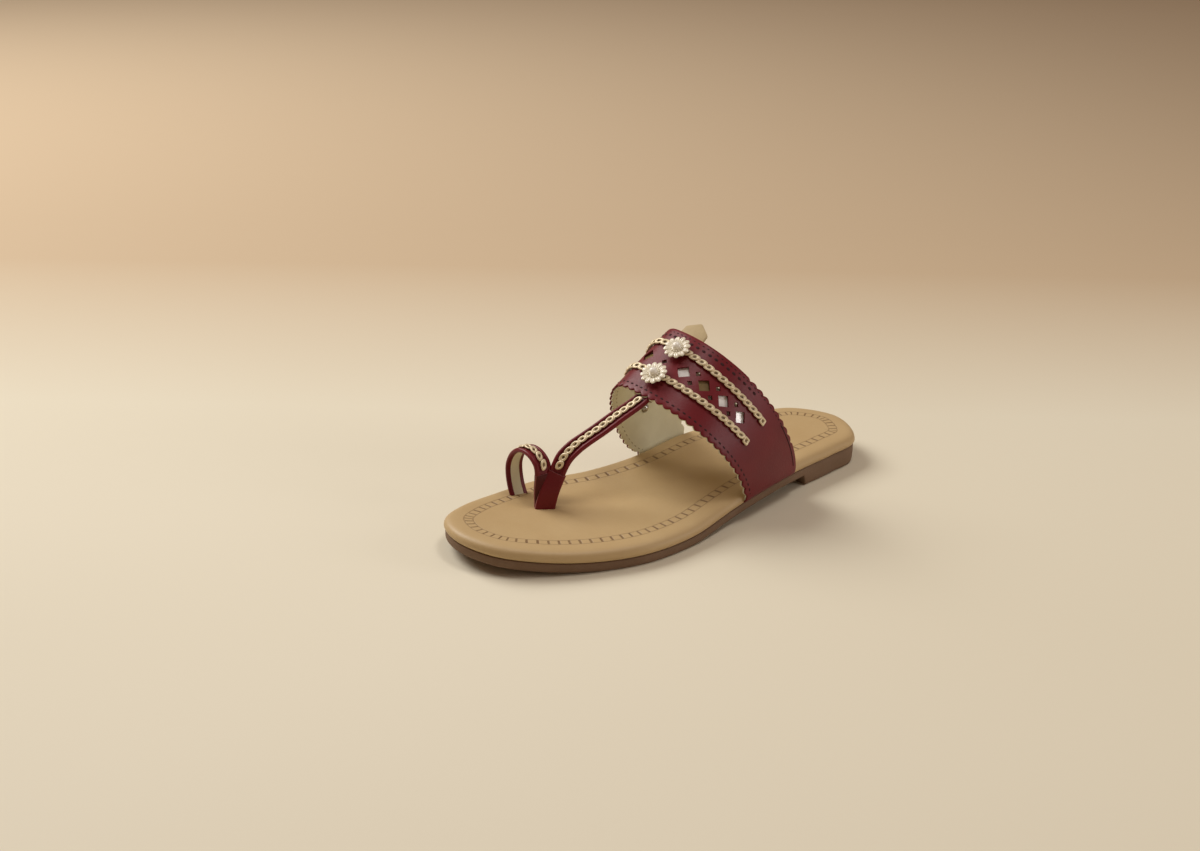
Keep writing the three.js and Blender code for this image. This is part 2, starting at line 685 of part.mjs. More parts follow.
const FLORET_PROFILE = [
  { radius: 5.6, height: 0, ruffle: 0.03 },
  { radius: 6.9, height: 0.5, ruffle: 0.07 },
  { radius: 6.2, height: 1.5, ruffle: 0.07 },
  { radius: 3.2, height: FLORET_MIDDLE_HEIGHT, ruffle: 0 },
];
const PEARL_PROFILE = [
  { radius: 1.5, height: 0, ruffle: 0 },
  { radius: 2.1, height: 0.8, ruffle: 0 },
  { radius: 2.0, height: 1.7, ruffle: 0 },
  { radius: 1.3, height: 2.5, ruffle: 0 },
  { radius: 0.5, height: 2.8, ruffle: 0 },
];
const RIVET_PROFILE = [
  { radius: 2.3, height: 0, ruffle: 0 },
  { radius: 2.2, height: 0.5, ruffle: 0 },
  { radius: 1.5, height: 1.1, ruffle: 0 },
  { radius: 0.5, height: 1.35, ruffle: 0 },
];

// A floret lies over its braid, and its pearl over the middle of the floret
const FLORET_LIFT = SEAT_GAP + CHAIN_HEIGHT + SEAT_GAP;
const PEARL_LIFT = FLORET_LIFT + FLORET_MIDDLE_HEIGHT + SEAT_GAP;
const FLORET_LINE = 10.2;
const FLORET_FORWARD = 0.035;

function floret(chainU) {
  const u = chainU - FLORET_FORWARD;
  const seat = bandPoint(u, FLORET_LINE, -FLORET_LIFT);
  return ornament(seat, archNormal(u, FLORET_LINE), FLORET_PROFILE, FLORET_PETALS, FLORET_SEGMENTS);
}

function pearl(chainU) {
  const u = chainU - FLORET_FORWARD;
  const seat = bandPoint(u, FLORET_LINE, -PEARL_LIFT);
  return ornament(seat, archNormal(u, FLORET_LINE), PEARL_PROFILE, 1, PEARL_SEGMENTS);
}

// A rivet's head on the inner face of the band's wall
function rivet({ u, distance }) {
  const inward = archNormal(u, distance).negate();
  return ornament(bandPoint(u, distance, BAND_WALL + SEAT_GAP), inward, RIVET_PROFILE, 1, RIVET_SEGMENTS);
}

// The pull tab: leather cut to a point, from under the band's rear edge on its centre line
function rearTab() {
  const outline = [
    { across: -8.4, out: -7 },
    { across: -7.8, out: 5.4 },
    { across: 0, out: 10 },
    { across: 7.8, out: 5.4 },
    { across: 8.4, out: -7 },
  ];
  const place = ({ across, out }, depth) => {
    const distance = CENTRE_LINE + across;
    const edge = bandPoint(1, distance, depth);
    const back = edge.clone().sub(bandPoint(0.9, distance, depth)).normalize();
    return edge.addScaledVector(back, out);
  };
  const top = outline.map((corner) => place(corner, BAND_WALL + SEAT_GAP));
  const under = outline.map((corner) => place(corner, BAND_WALL + SEAT_GAP + TAB_THICKNESS));
  return loft([under.reverse(), top.reverse()]);
}

const material = (name) => new THREE.MeshStandardMaterial({ ...COLOURS[name], flatShading: true });

const sandal = new THREE.Group();
function addPiece(name, geometry, finish) {
  geometry.translate(-MIDDLE_X, 0, 0);
  const mesh = new THREE.Mesh(geometry, material(finish));
  mesh.name = name;
  sandal.add(mesh);
}

addPiece("outsole", outsole(), "brown");
addPiece("footbed", footbed(), "tan");
addPiece("upper", upper(), "burgundy");
addPiece("mirror_underlay", mirrorUnderlay(), "mirror");
addPiece("chain_front", bandChain(frontChainU), "gold");
addPiece("chain_rear", bandChain(rearChainU), "gold");
addPiece("chain_tstrap", strapChain(tStrapTable(), 3.6, 9.75), "gold");
addPiece("chain_loop", strapChain(TOE_LOOP, 3.5, 11.6), "gold");
addPiece("floret_front", floret(frontChainU(CENTRE_LINE)), "cream");
addPiece("floret_rear", floret(rearChainU(CENTRE_LINE)), "cream");
addPiece("pearl_front", pearl(frontChainU(CENTRE_LINE)), "pearl");
addPiece("pearl_rear", pearl(rearChainU(CENTRE_LINE)), "pearl");
RIVETS.forEach((place, i) => addPiece(`rivet_${i + 1}`, rivet(place), "steel"));
addPiece("rear_tab", rearTab(), "beige");

export default sandal;
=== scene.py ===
# The left kolhapuri sandal's visual model. Shapes are worked out in millimetres with x = 0 on the heel's
# middle, and each mesh is then moved by MIDDLE_X into the CAD model's frame and scaled to metres.
# The toe points along -Y and the outer side of the foot along +X.
import math

import bpy
import bmesh
import numpy as np
from mathutils import Matrix


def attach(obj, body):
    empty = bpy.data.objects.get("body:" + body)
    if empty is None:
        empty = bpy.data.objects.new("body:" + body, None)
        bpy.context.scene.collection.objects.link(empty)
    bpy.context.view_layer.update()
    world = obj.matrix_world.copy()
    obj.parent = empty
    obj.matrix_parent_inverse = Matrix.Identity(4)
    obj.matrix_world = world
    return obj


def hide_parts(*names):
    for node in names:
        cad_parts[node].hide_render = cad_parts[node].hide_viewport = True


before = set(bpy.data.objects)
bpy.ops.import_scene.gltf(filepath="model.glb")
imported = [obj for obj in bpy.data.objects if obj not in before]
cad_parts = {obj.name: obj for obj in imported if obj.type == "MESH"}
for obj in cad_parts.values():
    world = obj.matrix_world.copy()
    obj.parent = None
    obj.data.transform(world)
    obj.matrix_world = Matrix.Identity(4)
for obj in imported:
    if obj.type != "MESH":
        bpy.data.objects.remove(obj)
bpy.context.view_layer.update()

MM = 0.001
MIDDLE_X = 3.57
# Degrees between faces over which an edge stays sharp, and the gap in mm between a piece and its seat
SHARP_ANGLE = 32
SEAT_GAP = 0.3

# The sole, with distances along it from the toe tip
SOLE_LENGTH = 250.0
OUTSOLE_THICKNESS = 4.8
OUTSOLE_INSET = 0.6
HEEL_SEAT_HEIGHT = 10.4
TOE_SPRING = 6.2
TOE_SPRING_END = 62.0
SHANK_START = 90.0
SHANK_END = 170.0
HEEL_BREAST = 193.0
BREAST_SLANT = 0.8
FOOTBED_THICKNESS = 5.8
BORDER_PITCH = 5.5
BORDER_MIDDLE = 11.8
BORDER_HALF_WIDTH = 1.9
BORDER_RAILS = (9.6, 14.0)

# The band and its scalloped edges, with distances from the ridge
BAND_WALL = 2.0
LEATHER_WALL = 1.1
TAB_THICKNESS = 1.6
SCALLOP_PITCH = 5.0
SCALLOP_DEPTH = 1.3
REAR_SCALLOP_DEPTH = 1.1
REAR_SCALLOPS_FROM = 41.0
REAR_SCALLOPS_TO = 85.0

# The cut-out diamonds and the mirrors in them, counted from the centre line
CENTRE_LINE = 7.8
DIAMOND_ROW = 0.525
SMALL_ROW_OFFSET = 0.08
BIG_DIAMOND = 5.6
SMALL_DIAMOND = 2.3
DIAMOND_PITCH = 12.2
DIAMONDS_EACH_SIDE = 4
LINING_CLEARANCE = 1.6
PLATE_MARGIN = 1.2
PLATE_DEPTH = 1.55
SHADED_MIRRORS = (CENTRE_LINE - DIAMOND_PITCH, CENTRE_LINE + 2 * DIAMOND_PITCH)
STRIP_MARGIN = 4.8

# Straps, braids and florets
STRAP_HALF_WIDTH = 4.7
CHAIN_WIDTH = 3.9
STRAP_CHAIN_WIDTH = 3.7
CHAIN_HEIGHT = 1.7
RIBBON_HEIGHT = 0.75
CHAIN_LINK = 4.2
CHAIN_START = 5.2
CHAIN_REACH = 61.0
CHANNEL_FLOOR = 0.35
FLORET_MIDDLE_HEIGHT = 1.1
FLORET_LINE = 10.2
FLORET_FORWARD = 0.035
PETALS = 12
FLORET_BEADS = 14

# The footbed's edge: distance from the toe tip, x on the medial side and x on the lateral side
OUTLINE = [
    (6.3, -25.2, 14.4), (24, -36.5, 29.8), (46, -41.4, 41.2), (72, -42.3, 49.0), (100, -35.4, 48.8),
    (130, -31.0, 43.0), (160, -32.8, 38.2), (190, -32.8, 32.8), (215, -32.0, 29.8), (237.5, -24.3, 24.7),
]
TOE_TIP_X = -6.0
HEEL_TIP_X = 0.0

# Side profile of each layer of the sole: inset from its outline, and height as a share of its thickness
OUTSOLE_EDGE = [
    (1.1, 0), (0.62, 0.04), (0.3, 0.12), (0.08, 0.26), (0, 0.5), (0, 0.86), (0.12, 0.95), (0.5, 1),
]
FOOTBED_EDGE = [
    (1.4, 0), (0.75, 0.02), (0.4, 0.08), (0.14, 0.16), (0, 0.26), (0.02, 0.37), (0.15, 0.48), (0.42, 0.6),
    (0.8, 0.7), (1.35, 0.8), (2.0, 0.87), (2.8, 0.93), (3.7, 0.965), (4.7, 0.988), (5.8, 1), (7.4, 1),
    (9, 1), (11, 1), (13, 1), (15.5, 1),
]

# Front and rear edge of the band: ridge x, y, z, squareness and lean of each side, and base y of each side
BAND_FRONT = dict(ridge=(-5.5, -24, 65), square=(2.5, 2.1), lean=(1.1, 0.6), base=(13, 6.7))
BAND_REAR = dict(ridge=(-9, 12, 86.5), square=(2.5, 2.2), lean=(1.25, 0.9), base=(55.3, 42.3))
BASE_OUT = 2.3
BASE_UP = 5.5
# How the band's end turns under the footbed: distance out from its edge, height over the outsole
TUCK_OUTER = [(2.1, 3.6), (1.3, 1.9), (-0.3, 0.8), (-2.4, 0.3), (-9, 0.3)]
TUCK_INNER = [(0.2, 4.2), (-0.2, 3.1), (-1.2, 2.3), (-2.4, 1.9), (-9, 1.9)]

# Middle line of each strap: x, y, z, the way its width runs in plan (x, y), channel depth and width as shares
T_STRAP = [
    (-10.6, -69.8, 5.6, 0.54, 0.84, 0, 0.96), (-10.6, -69.6, 11, 0.54, 0.84, 0, 0.96),
    (-9.9, -67.4, 19.5, 0.66, 0.75, 0, 0.9), (-9.1, -63.7, 28, 0.78, 0.62, 0.3, 0.86),
    (-8.5, -62.0, 32.4, 0.84, 0.54, 1, 0.9), (-7.9, -59.7, 36.4, 0.9, 0.43, 1, 0.96),
    (-6.3, -54.9, 41.0, 0.95, 0.3, 1, 1), (-4.2, -49.4, 44.8, 0.98, 0.2, 1, 1),
    (-2.0, -43.9, 48.4, 0.98, 0.2, 1, 1), (1.2, -35.6, 54.2, 0.98, 0.2, 1, 1),
]
TOE_LOOP = [
    (-12.2, -69.4, 5.6, 0.54, 0.84, 0, 0.96), (-12.2, -69.2, 11, 0.54, 0.84, 0, 0.96),
    (-12.9, -69.0, 20, 0.3, 0.95, 0, 0.98), (-12.6, -69.2, 28, 0.05, 1, 0.3, 1),
    (-13.6, -69.2, 32.8, 0, 1, 1, 1), (-17.2, -69.2, 36.0, 0, 1, 1, 1),
    (-22.2, -69.2, 37.4, 0, 1, 1, 1), (-27.6, -69.3, 36.6, 0, 1, 1, 1),
    (-32.6, -69.5, 32.9, 0.03, 1, 1, 1), (-35.6, -69.8, 26.6, 0.06, 1, 1, 1),
    (-35.4, -70.0, 20.8, 0.1, 1, 1, 1), (-33.6, -70.2, 15, 0.12, 0.99, 1, 1),
    (-31.4, -70.2, 10.4, 0.14, 0.99, 0.5, 1), (-29.6, -70.2, 5.6, 0.14, 0.99, 0, 1),
]
# Half of a strap's section: across, height with the channel, height without it
STRAP_TOP = [
    (1, 0, 0), (0.985, 0.42, 0.42), (0.94, 0.82, 0.78), (0.87, 1.1, 0.98), (0.78, 1.25, 1.08),
    (0.69, 1.2, 1.1), (0.62, 1.0, 1.1), (0.575, 0.7, 1.1), (0.55, 0.35, 1.1), (0.2, 0.35, 1.1),
]
STRAP_UNDER = [(0.99, -0.4), (0.95, -0.75), (0.88, -0.95), (0.52, -0.95), (0.47, -0.78), (0.2, -0.78)]
# The rows between which each strap's braid lies, and the row where its tail starts
T_STRAP_BRAID = (3.6, 9.95)
TOE_LOOP_BRAID = (3.5, 11.6)
T_STRAP_SEAM = 3.15
TOE_LOOP_SEAM = 3.1

# The two rivets inside the band: share of its width from the front edge, distance past the ridge
RIVETS = [(0.49, -52.5), (0.63, -50.5)]


# Curves and the sole's outline

def unit(v):
    """A vector, or each row of an array, at length 1."""
    return v / np.linalg.norm(v, axis=-1, keepdims=True)


def spline(points, samples, closed=False):
    """A centripetal Catmull-Rom curve through the points, as samples + 1 points."""
    points = np.asarray(points, float)
    if closed:
        chain = np.vstack([points[-1:], points, points[:2]])
    else:
        chain = np.vstack([2 * points[0] - points[1], points, 2 * points[-1] - points[-2]])
    spans = len(chain) - 3
    place = np.linspace(0, spans, samples + 1)
    first = np.minimum(place.astype(int), spans - 1)
    w = (place - first)[:, None]
    p0, p1, p2, p3 = (chain[first + k] for k in range(4))
    d0, d1, d2 = (np.sqrt(np.linalg.norm(b - a, axis=1))[:, None] for a, b in ((p0, p1), (p1, p2), (p2, p3)))
    m1 = ((p1 - p0) / d0 - (p2 - p0) / (d0 + d1) + (p2 - p1) / d1) * d1
    m2 = ((p2 - p1) / d1 - (p3 - p1) / (d1 + d2) + (p3 - p2) / d2) * d1
    return p1 + m1 * w + (-3 * p1 + 3 * p2 - 2 * m1 - m2) * w**2 + (2 * p1 - 2 * p2 + m1 + m2) * w**3


def outline_sides(samples=4000):
    """The outline's medial and lateral side, each as x and y from the toe tip to the heel tip."""
    medial = [(m, d) for d, m, _ in OUTLINE]
    lateral = [(x, d) for d, _, x in OUTLINE]
    ring = spline([(TOE_TIP_X, 0), *medial, (HEEL_TIP_X, SOLE_LENGTH), *lateral[::-1]], samples, closed=True)
    heel = int(np.argmin(np.linalg.norm(ring - (HEEL_TIP_X, SOLE_LENGTH), axis=1)))
    return ring[:heel + 1], ring[heel:][::-1]


MEDIAL_SIDE, LATERAL_SIDE = outline_sides()


def edge_x(y, side):
    """The footbed's edge at y, on the lateral side (side 1) or the medial side (side -1)."""
    line = LATERAL_SIDE if side > 0 else MEDIAL_SIDE
    order = np.argsort(line[:, 1])
    return np.interp(np.asarray(y) + SOLE_LENGTH / 2, line[order, 1], line[order, 0])


def toe_lift(y):
    return TOE_SPRING * np.clip((TOE_SPRING_END - y - SOLE_LENGTH / 2) / TOE_SPRING_END, 0, 1) ** 2


def shank_lift(y):
    t = np.clip((y + SOLE_LENGTH / 2 - SHANK_START) / (SHANK_END - SHANK_START), 0, 1)
    return (HEEL_SEAT_HEIGHT - OUTSOLE_THICKNESS) * t * t * (3 - 2 * t)


def deck_height(y):
    return OUTSOLE_THICKNESS + toe_lift(y) + shank_lift(y)


def outsole_bottom(y):
    block = np.clip((y + SOLE_LENGTH / 2 - HEEL_BREAST) / BREAST_SLANT, 0, 1)
    return toe_lift(y) + shank_lift(y) * (1 - block)


# Meshes

def new_mesh(name, points, faces):
    """A mesh in the CAD model's frame from points in mm."""
    mesh = bpy.data.meshes.new(name)
    moved = (np.asarray(points) - (MIDDLE_X, 0, 0)) * MM
    mesh.from_pydata(moved.tolist(), [], [list(map(int, f)) for f in faces])
    return mesh


def new_object(name, data):
    obj = bpy.data.objects.new(name, data)
    bpy.context.scene.collection.objects.link(obj)
    return obj


def new_piece(name, points, faces, materials, slot, replaces=(), uvs=None, slots=None, sharp=SHARP_ANGLE):
    """A mesh object that rides the sandal. uvs has one pair per face corner, slots one number per face."""
    mesh = new_mesh(name, points, faces)
    if uvs is not None:
        layer = mesh.uv_layers.new(name="Pattern")
        layer.data.foreach_set("uv", np.asarray(uvs, float).ravel())
    for m in materials:
        mesh.materials.append(m)
    if slots is not None:
        mesh.polygons.foreach_set("material_index", np.asarray(slots, int))
    mesh.update()
    obj = new_object(name, mesh)
    shade(mesh, sharp)
    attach(obj, "root")
    if replaces:
        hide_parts(*replaces)
    return obj


def shade(mesh, sharp):
    """Smooth faces, with an edge kept sharp where its faces meet at more than this angle in degrees."""
    bm = bmesh.new()
    bm.from_mesh(mesh)
    bmesh.ops.recalc_face_normals(bm, faces=bm.faces)
    limit = math.radians(sharp)
    for face in bm.faces:
        face.smooth = True
    for edge in bm.edges:
        edge.smooth = len(edge.link_faces) == 2 and edge.calc_face_angle(0) < limit
    bm.to_mesh(mesh)
    bm.free()


def grid_faces(rows, columns, close_columns=False, close_rows=False):
    """Quads between the points of a grid stored row by row."""
    i = np.arange(rows if close_rows else rows - 1)[:, None]
    j = np.arange(columns if close_columns else columns - 1)[None, :]
    i2 = (i + 1) % rows
    j2 = (j + 1) % columns
    quads = [i * columns + j, i * columns + j2, i2 * columns + j2, i2 * columns + j]
    return np.stack([q + 0 * (i + j) for q in quads], -1).reshape(-1, 4)


def lofted(rings):
    """Points and faces of closed rings joined in a row, each end closed by one face."""
    rings = np.asarray(rings)
    rows, count = rings.shape[:2]
    faces = [list(f) for f in grid_faces(rows, count, close_columns=True)]
    faces.append(list(range(count))[::-1])
    faces.append([(rows - 1) * count + j for j in range(count)])
    return rings.reshape(-1, 3), faces


def ring_at(centre, x_axis, y_axis, radius, corners):
    a = np.arange(corners) * 2 * math.pi / corners
    return centre + np.outer(np.cos(a) * radius, x_axis) + np.outer(np.sin(a) * radius, y_axis)


def merged(parts):
    """Several (points, faces) as one."""
    points, faces, start = [], [], 0
    for p, f in parts:
        points.append(np.asarray(p))
        faces += [[k + start for k in face] for face in f]
        start += len(p)
    return np.vstack(points), faces


# The sole

def outline_ring(inset, steps=150):
    """The outline as a ring of points moved inwards: toe tip, medial side, heel tip, lateral side."""
    along = np.r_[0, np.cumsum(np.linalg.norm(np.diff(MEDIAL_SIDE, axis=0), axis=1))]
    at = np.linspace(0, along[-1], steps + 1)
    y = np.interp(at, along, MEDIAL_SIDE[:, 1])
    medial = np.c_[np.interp(at, along, MEDIAL_SIDE[:, 0]), y]
    lateral = np.c_[edge_x(y - SOLE_LENGTH / 2, 1), y]
    lateral[[0, -1]] = medial[[0, -1]]
    ring = np.vstack([medial, lateral[-2:0:-1]])
    tangent = unit(np.roll(ring, -1, 0) - np.roll(ring, 1, 0))
    inward = np.c_[tangent[:, 1], -tangent[:, 0]]
    return ring + inward * inset - (0, SOLE_LENGTH / 2)


def sole_layer(edge, base_inset, bottom, top, across=14):
    """Points, faces and pattern coordinates (mm along the edge, mm in from it) of one layer of the sole.

    bottom and top give its height at y. Its two flat sides are rows of quads across the sole."""
    rings = []
    for inset, rise in edge:
        ring = outline_ring(base_inset + inset)
        low, high = bottom(ring[:, 1]), top(ring[:, 1])
        rings.append(np.c_[ring, low + (high - low) * rise])
    count = len(rings[0])
    half = count // 2
    points = list(np.vstack(rings))
    faces = [list(f) for f in grid_faces(len(rings), count, close_columns=True)]
    outer = rings[0]
    along = np.r_[0, np.cumsum(np.linalg.norm(np.diff(np.vstack([outer, outer[:1]]), axis=0), axis=1))]
    uvs = []
    for i in range(len(rings) - 1):
        v0, v1 = edge[i][0], edge[i + 1][0]
        for j in range(count):
            uvs += [(along[j], v0), (along[j + 1], v0), (along[j + 1], v1), (along[j], v1)]

    def cap(index, height, inset):
        ring = rings[index]
        start = index * count
        rows = [[start]]
        for k in range(1, half):
            left, right = ring[k], ring[count - k]
            row = [start + k]
            for m in range(1, across):
                p = left + (right - left) * (m / across)
                row.append(len(points))
                points.append(np.array([p[0], p[1], height(p[1])]))
            rows.append(row + [start + count - k])
        rows.append([start + half])
        for near, far in zip(rows, rows[1:]):
            if len(near) == 1:
                new = [[near[0], far[m + 1], far[m]] for m in range(across)]
            elif len(far) == 1:
                new = [[near[m], near[m + 1], far[0]] for m in range(across)]
            else:
                new = [[near[m], near[m + 1], far[m + 1], far[m]] for m in range(across)]
            for f in new:
                faces.append(f)
                uvs.extend([(0, inset)] * len(f))

    # Both flat sides lie clear of the border's pattern
    cap(0, bottom, -1)
    cap(len(rings) - 1, top, 40)
    return np.array(points), faces, uvs


# The band's outer surface, as a table over u (front to rear) and t (-1 medial base, 0 ridge, 1 lateral base)

U_TABLE = np.linspace(-0.06, 1.06, 57)
T_TABLE = np.linspace(-1, 1, 401)


def band_row(u):
    """The band's measures at u, between those of its front and rear edge."""
    return {key: np.array(front) + (np.array(BAND_REAR[key]) - np.array(front)) * u
            for key, front in BAND_FRONT.items()}


def arch_line(u, side):
    """The arch at u from the ridge down to one base, as a fine line."""
    row = band_row(u)
    k = 0 if side > 0 else 1
    angle = np.linspace(math.pi / 2, 0, 500)
    c, s = np.cos(angle).clip(0), np.sin(angle).clip(0)
    base_y = row["base"][k]
    base_x = edge_x(base_y, side) + side * BASE_OUT
    base_z = deck_height(base_y) + BASE_UP
    square = row["square"][k]
    x = row["ridge"][0] + (base_x - row["ridge"][0]) * c ** (2 / square)
    y = row["ridge"][1] + (base_y - row["ridge"][1]) * (1 - s ** row["lean"][k])
    z = base_z + (row["ridge"][2] - base_z) * s ** (2 / square)
    return np.c_[x, y, z]


def band_table():
    """The surface's points, its outward normals, and each side's length, for every u of the table."""
    points = np.zeros((len(U_TABLE), len(T_TABLE), 3))
    lengths = np.zeros((len(U_TABLE), 2))
    for i, u in enumerate(U_TABLE):
        for k, side in enumerate((1, -1)):
            line = arch_line(u, side)
            run = np.r_[0, np.cumsum(np.linalg.norm(np.diff(line, axis=0), axis=1))]
            lengths[i, k] = run[-1]
            mine = T_TABLE * side >= 0
            at = np.abs(T_TABLE[mine]) * run[-1]
            points[i, mine] = np.stack([np.interp(at, run, line[:, c]) for c in range(3)], 1)
    normals = unit(np.cross(np.gradient(points, axis=1), np.gradient(points, axis=0)))
    return points, normals, lengths


BAND_POINTS, BAND_NORMALS, BAND_LENGTHS = band_table()


def table_at(table, u, t):
    """The table's value at u and t, between its rows and columns."""
    fu = (np.asarray(u, float) - U_TABLE[0]) / (U_TABLE[1] - U_TABLE[0])
    ft = (np.asarray(t, float).clip(-1, 1) + 1) / (T_TABLE[1] - T_TABLE[0])
    iu = fu.astype(int).clip(0, len(U_TABLE) - 2)
    it = ft.astype(int).clip(0, len(T_TABLE) - 2)
    a, b = (fu - iu)[..., None], (ft - it)[..., None]
    low = table[iu, it] * (1 - b) + table[iu, it + 1] * b
    high = table[iu + 1, it] * (1 - b) + table[iu + 1, it + 1] * b
    return low * (1 - a) + high * a


def half_length(u, side):
    return np.interp(u, U_TABLE, BAND_LENGTHS[:, 0 if side > 0 else 1])


def to_t(u, s):
    """The share of the way to the base, for a distance from the ridge in mm."""
    s = np.asarray(s, float)
    return np.where(s >= 0, s / half_length(u, 1), s / half_length(u, -1))


def band_normal(u, s):
    return unit(table_at(BAND_NORMALS, u, to_t(u, s)))


def band_point(u, s, depth):
    """A point at a depth under the band's outer surface, or over it where the depth is negative."""
    u, s = np.broadcast_arrays(np.asarray(u, float), np.asarray(s, float))
    return table_at(BAND_POINTS, u, to_t(u, s)) - band_normal(u, s) * np.asarray(depth)[..., None]


def tuck_rows(u, side, depth, steps=12):
    """Rows of points from the band's base to its end under the footbed, at a depth in the wall."""
    k = 0 if side > 0 else 1
    front, rear = BAND_FRONT["base"][k], BAND_REAR["base"][k]
    y = front + (rear - front) * u
    outer = spline([(BASE_OUT, BASE_UP), *TUCK_OUTER], steps)[1:]
    inner = spline([(BASE_OUT - BAND_WALL, BASE_UP), *TUCK_INNER], steps)[1:]
    share = (depth / BAND_WALL)[None, :, None]
    line = outer[:, None, :] * (1 - share) + inner[:, None, :] * share
    x = edge_x(y, side) + side * line[:, :, 0]
    z = deck_height(y) + line[:, :, 1]
    return np.stack([x, np.broadcast_to(y, x.shape), z], -1)


def band_shell(low, high, inset, rim, columns=22, per_scallop=8):
    """A layer of the band's wall from depth low to high, its scalloped edges moved in by inset.

    rim is how round its edges are, in mm. Returns the rings across the layer, from lateral to medial."""
    middle = (low + high) / 2
    edge = np.array([(0.0, middle - (high - low) * 0.22), (rim * 0.3, low + rim * 0.28), (rim, low)])
    shares = np.linspace(0, 1, columns)[1:-1]
    offsets = np.r_[edge[:, 0], 0 * shares, -edge[::-1, 0]]
    depths = np.r_[edge[:, 1], low + 0 * shares, edge[::-1, 1]]
    share = np.r_[[0] * len(edge), shares, [1] * len(edge)]
    offsets = np.r_[offsets, offsets[::-1]]
    depths = np.r_[depths, low + high - depths]
    share = np.r_[share, share[::-1]]

    def row(side, t, place):
        width = np.linalg.norm(table_at(BAND_POINTS, 1, side * t) - table_at(BAND_POINTS, 0, side * t))
        bay = 1 - abs(math.sin(math.pi * place))
        scalloped = REAR_SCALLOPS_FROM < t * float(half_length(0.5, side)) < REAR_SCALLOPS_TO
        front = (SCALLOP_DEPTH * bay + inset) / width
        rear = ((REAR_SCALLOP_DEPTH if scalloped else 0) * bay + inset) / width
        u = front + (1 - front - rear) * share + offsets / width
        points = table_at(BAND_POINTS, u, np.full(len(u), side * t))
        normal = unit(table_at(BAND_NORMALS, u, np.full(len(u), side * min(t, 0.995))))
        return points - normal * depths[:, None], u

    rings = []
    for side in (1, -1):
        scallops = round(float(half_length(0.5, side)) / SCALLOP_PITCH)
        count = scallops * per_scallop
        half = [row(side, i / count, i / per_scallop) for i in range(count + 1)]
        line = [p for p, _ in half] + list(tuck_rows(half[-1][1], side, depths))
        rings = line[::-1] + rings if side > 0 else rings + line[1:]
    return np.array(rings)


def diamond_places():
    """Where the diamonds lie: u, distance from the ridge, and size."""
    places = [(DIAMOND_ROW, CENTRE_LINE, SMALL_DIAMOND)]
    for side in (1, -1):
        for i in range(1, DIAMONDS_EACH_SIDE + 1):
            s = CENTRE_LINE + side * DIAMOND_PITCH * i
            places.append((DIAMOND_ROW, s, BIG_DIAMOND))
            if i < DIAMONDS_EACH_SIDE:
                between = s + side * DIAMOND_PITCH / 2
                places.append((DIAMOND_ROW + SMALL_ROW_OFFSET, between, SMALL_DIAMOND))
                places.append((DIAMOND_ROW - SMALL_ROW_OFFSET, between, SMALL_DIAMOND))
    return places


def diamond(u, s, size, heights):
    """A prism with its corners along and across the band, between two heights over the band's surface."""
    centre, normal = band_point(u, s, 0), band_normal(u, s)
    across = unit(band_point(u + 0.02, s, 0) - band_point(u - 0.02, s, 0))
    along = np.cross(across, normal)
    half = size / math.sqrt(2)
    corners = [(1, 0), (0, 1), (-1, 0), (0, -1)]
    return lofted([[centre + along * a * half + across * b * half + normal * h for a, b in corners]
                   for h in heights])


def cut_diamonds(obj, grow=0.0):
    """Takes the diamonds out of a piece of the band, each side grown in mm."""
    prisms = merged([diamond(u, s, size + grow, (-4, 3)) for u, s, size in diamond_places()])
    mesh = new_mesh("diamond_cutters", *prisms)
    shade(mesh, SHARP_ANGLE)
    cutter = new_object("diamond_cutters", mesh)
    cut = obj.modifiers.new("cut", "BOOLEAN")
    cut.operation = "DIFFERENCE"
    cut.solver = "EXACT"
    cut.object = cutter
    bpy.context.view_layer.update()
    result = bpy.data.meshes.new_from_object(obj.evaluated_get(bpy.context.evaluated_depsgraph_get()))
    obj.modifiers.clear()
    obj.data = result
    bpy.data.objects.remove(cutter)
    shade(result, SHARP_ANGLE)


# The straps

def strap_rows(table, steps):
    """Centre, across, up, channel and width at each step along a strap."""
    table = np.asarray(table, float)
    centre = spline(table[:, :3], steps)
    along = unit(np.gradient(centre, axis=0))
    place = np.linspace(0, len(table) - 1, steps + 1)
    column = [np.interp(place, np.arange(len(table)), table[:, c]) for c in range(3, 7)]
    across = np.c_[column[0], column[1], np.zeros(steps + 1)]
    across = unit(across - along * np.sum(across * along, axis=1)[:, None])
    return centre, across, np.cross(across, along), column[2], column[3]


def t_strap_table():
    """The T-strap's rows, ended by three rows under the band's wall."""
    rows = list(T_STRAP)
    for u, s, under in ((0, 10.3, 1.15), (0.12, 9.4, 0.9), (0.24, 8.6, 0.7)):
        p = band_point(u, s, BAND_WALL + under)
        q = unit(band_point(u, s + 1, BAND_WALL + under) - p)
        rows.append((*p, q[0], q[1], 1, 1))
    return rows


def strap_section(channel, width, grow):
    """Corners of a strap's section, across and up, grown outwards in mm."""
    top = [(a, h1 * channel + h0 * (1 - channel)) for a, h1, h0 in STRAP_TOP]
    ring = [(-a, h) for a, h in top] + top[::-1] + STRAP_UNDER + [(-a, h) for a, h in STRAP_UNDER[::-1]]
    return [(a * STRAP_HALF_WIDTH * width + math.copysign(grow, a), h + math.copysign(grow, h))
            for a, h in ring]


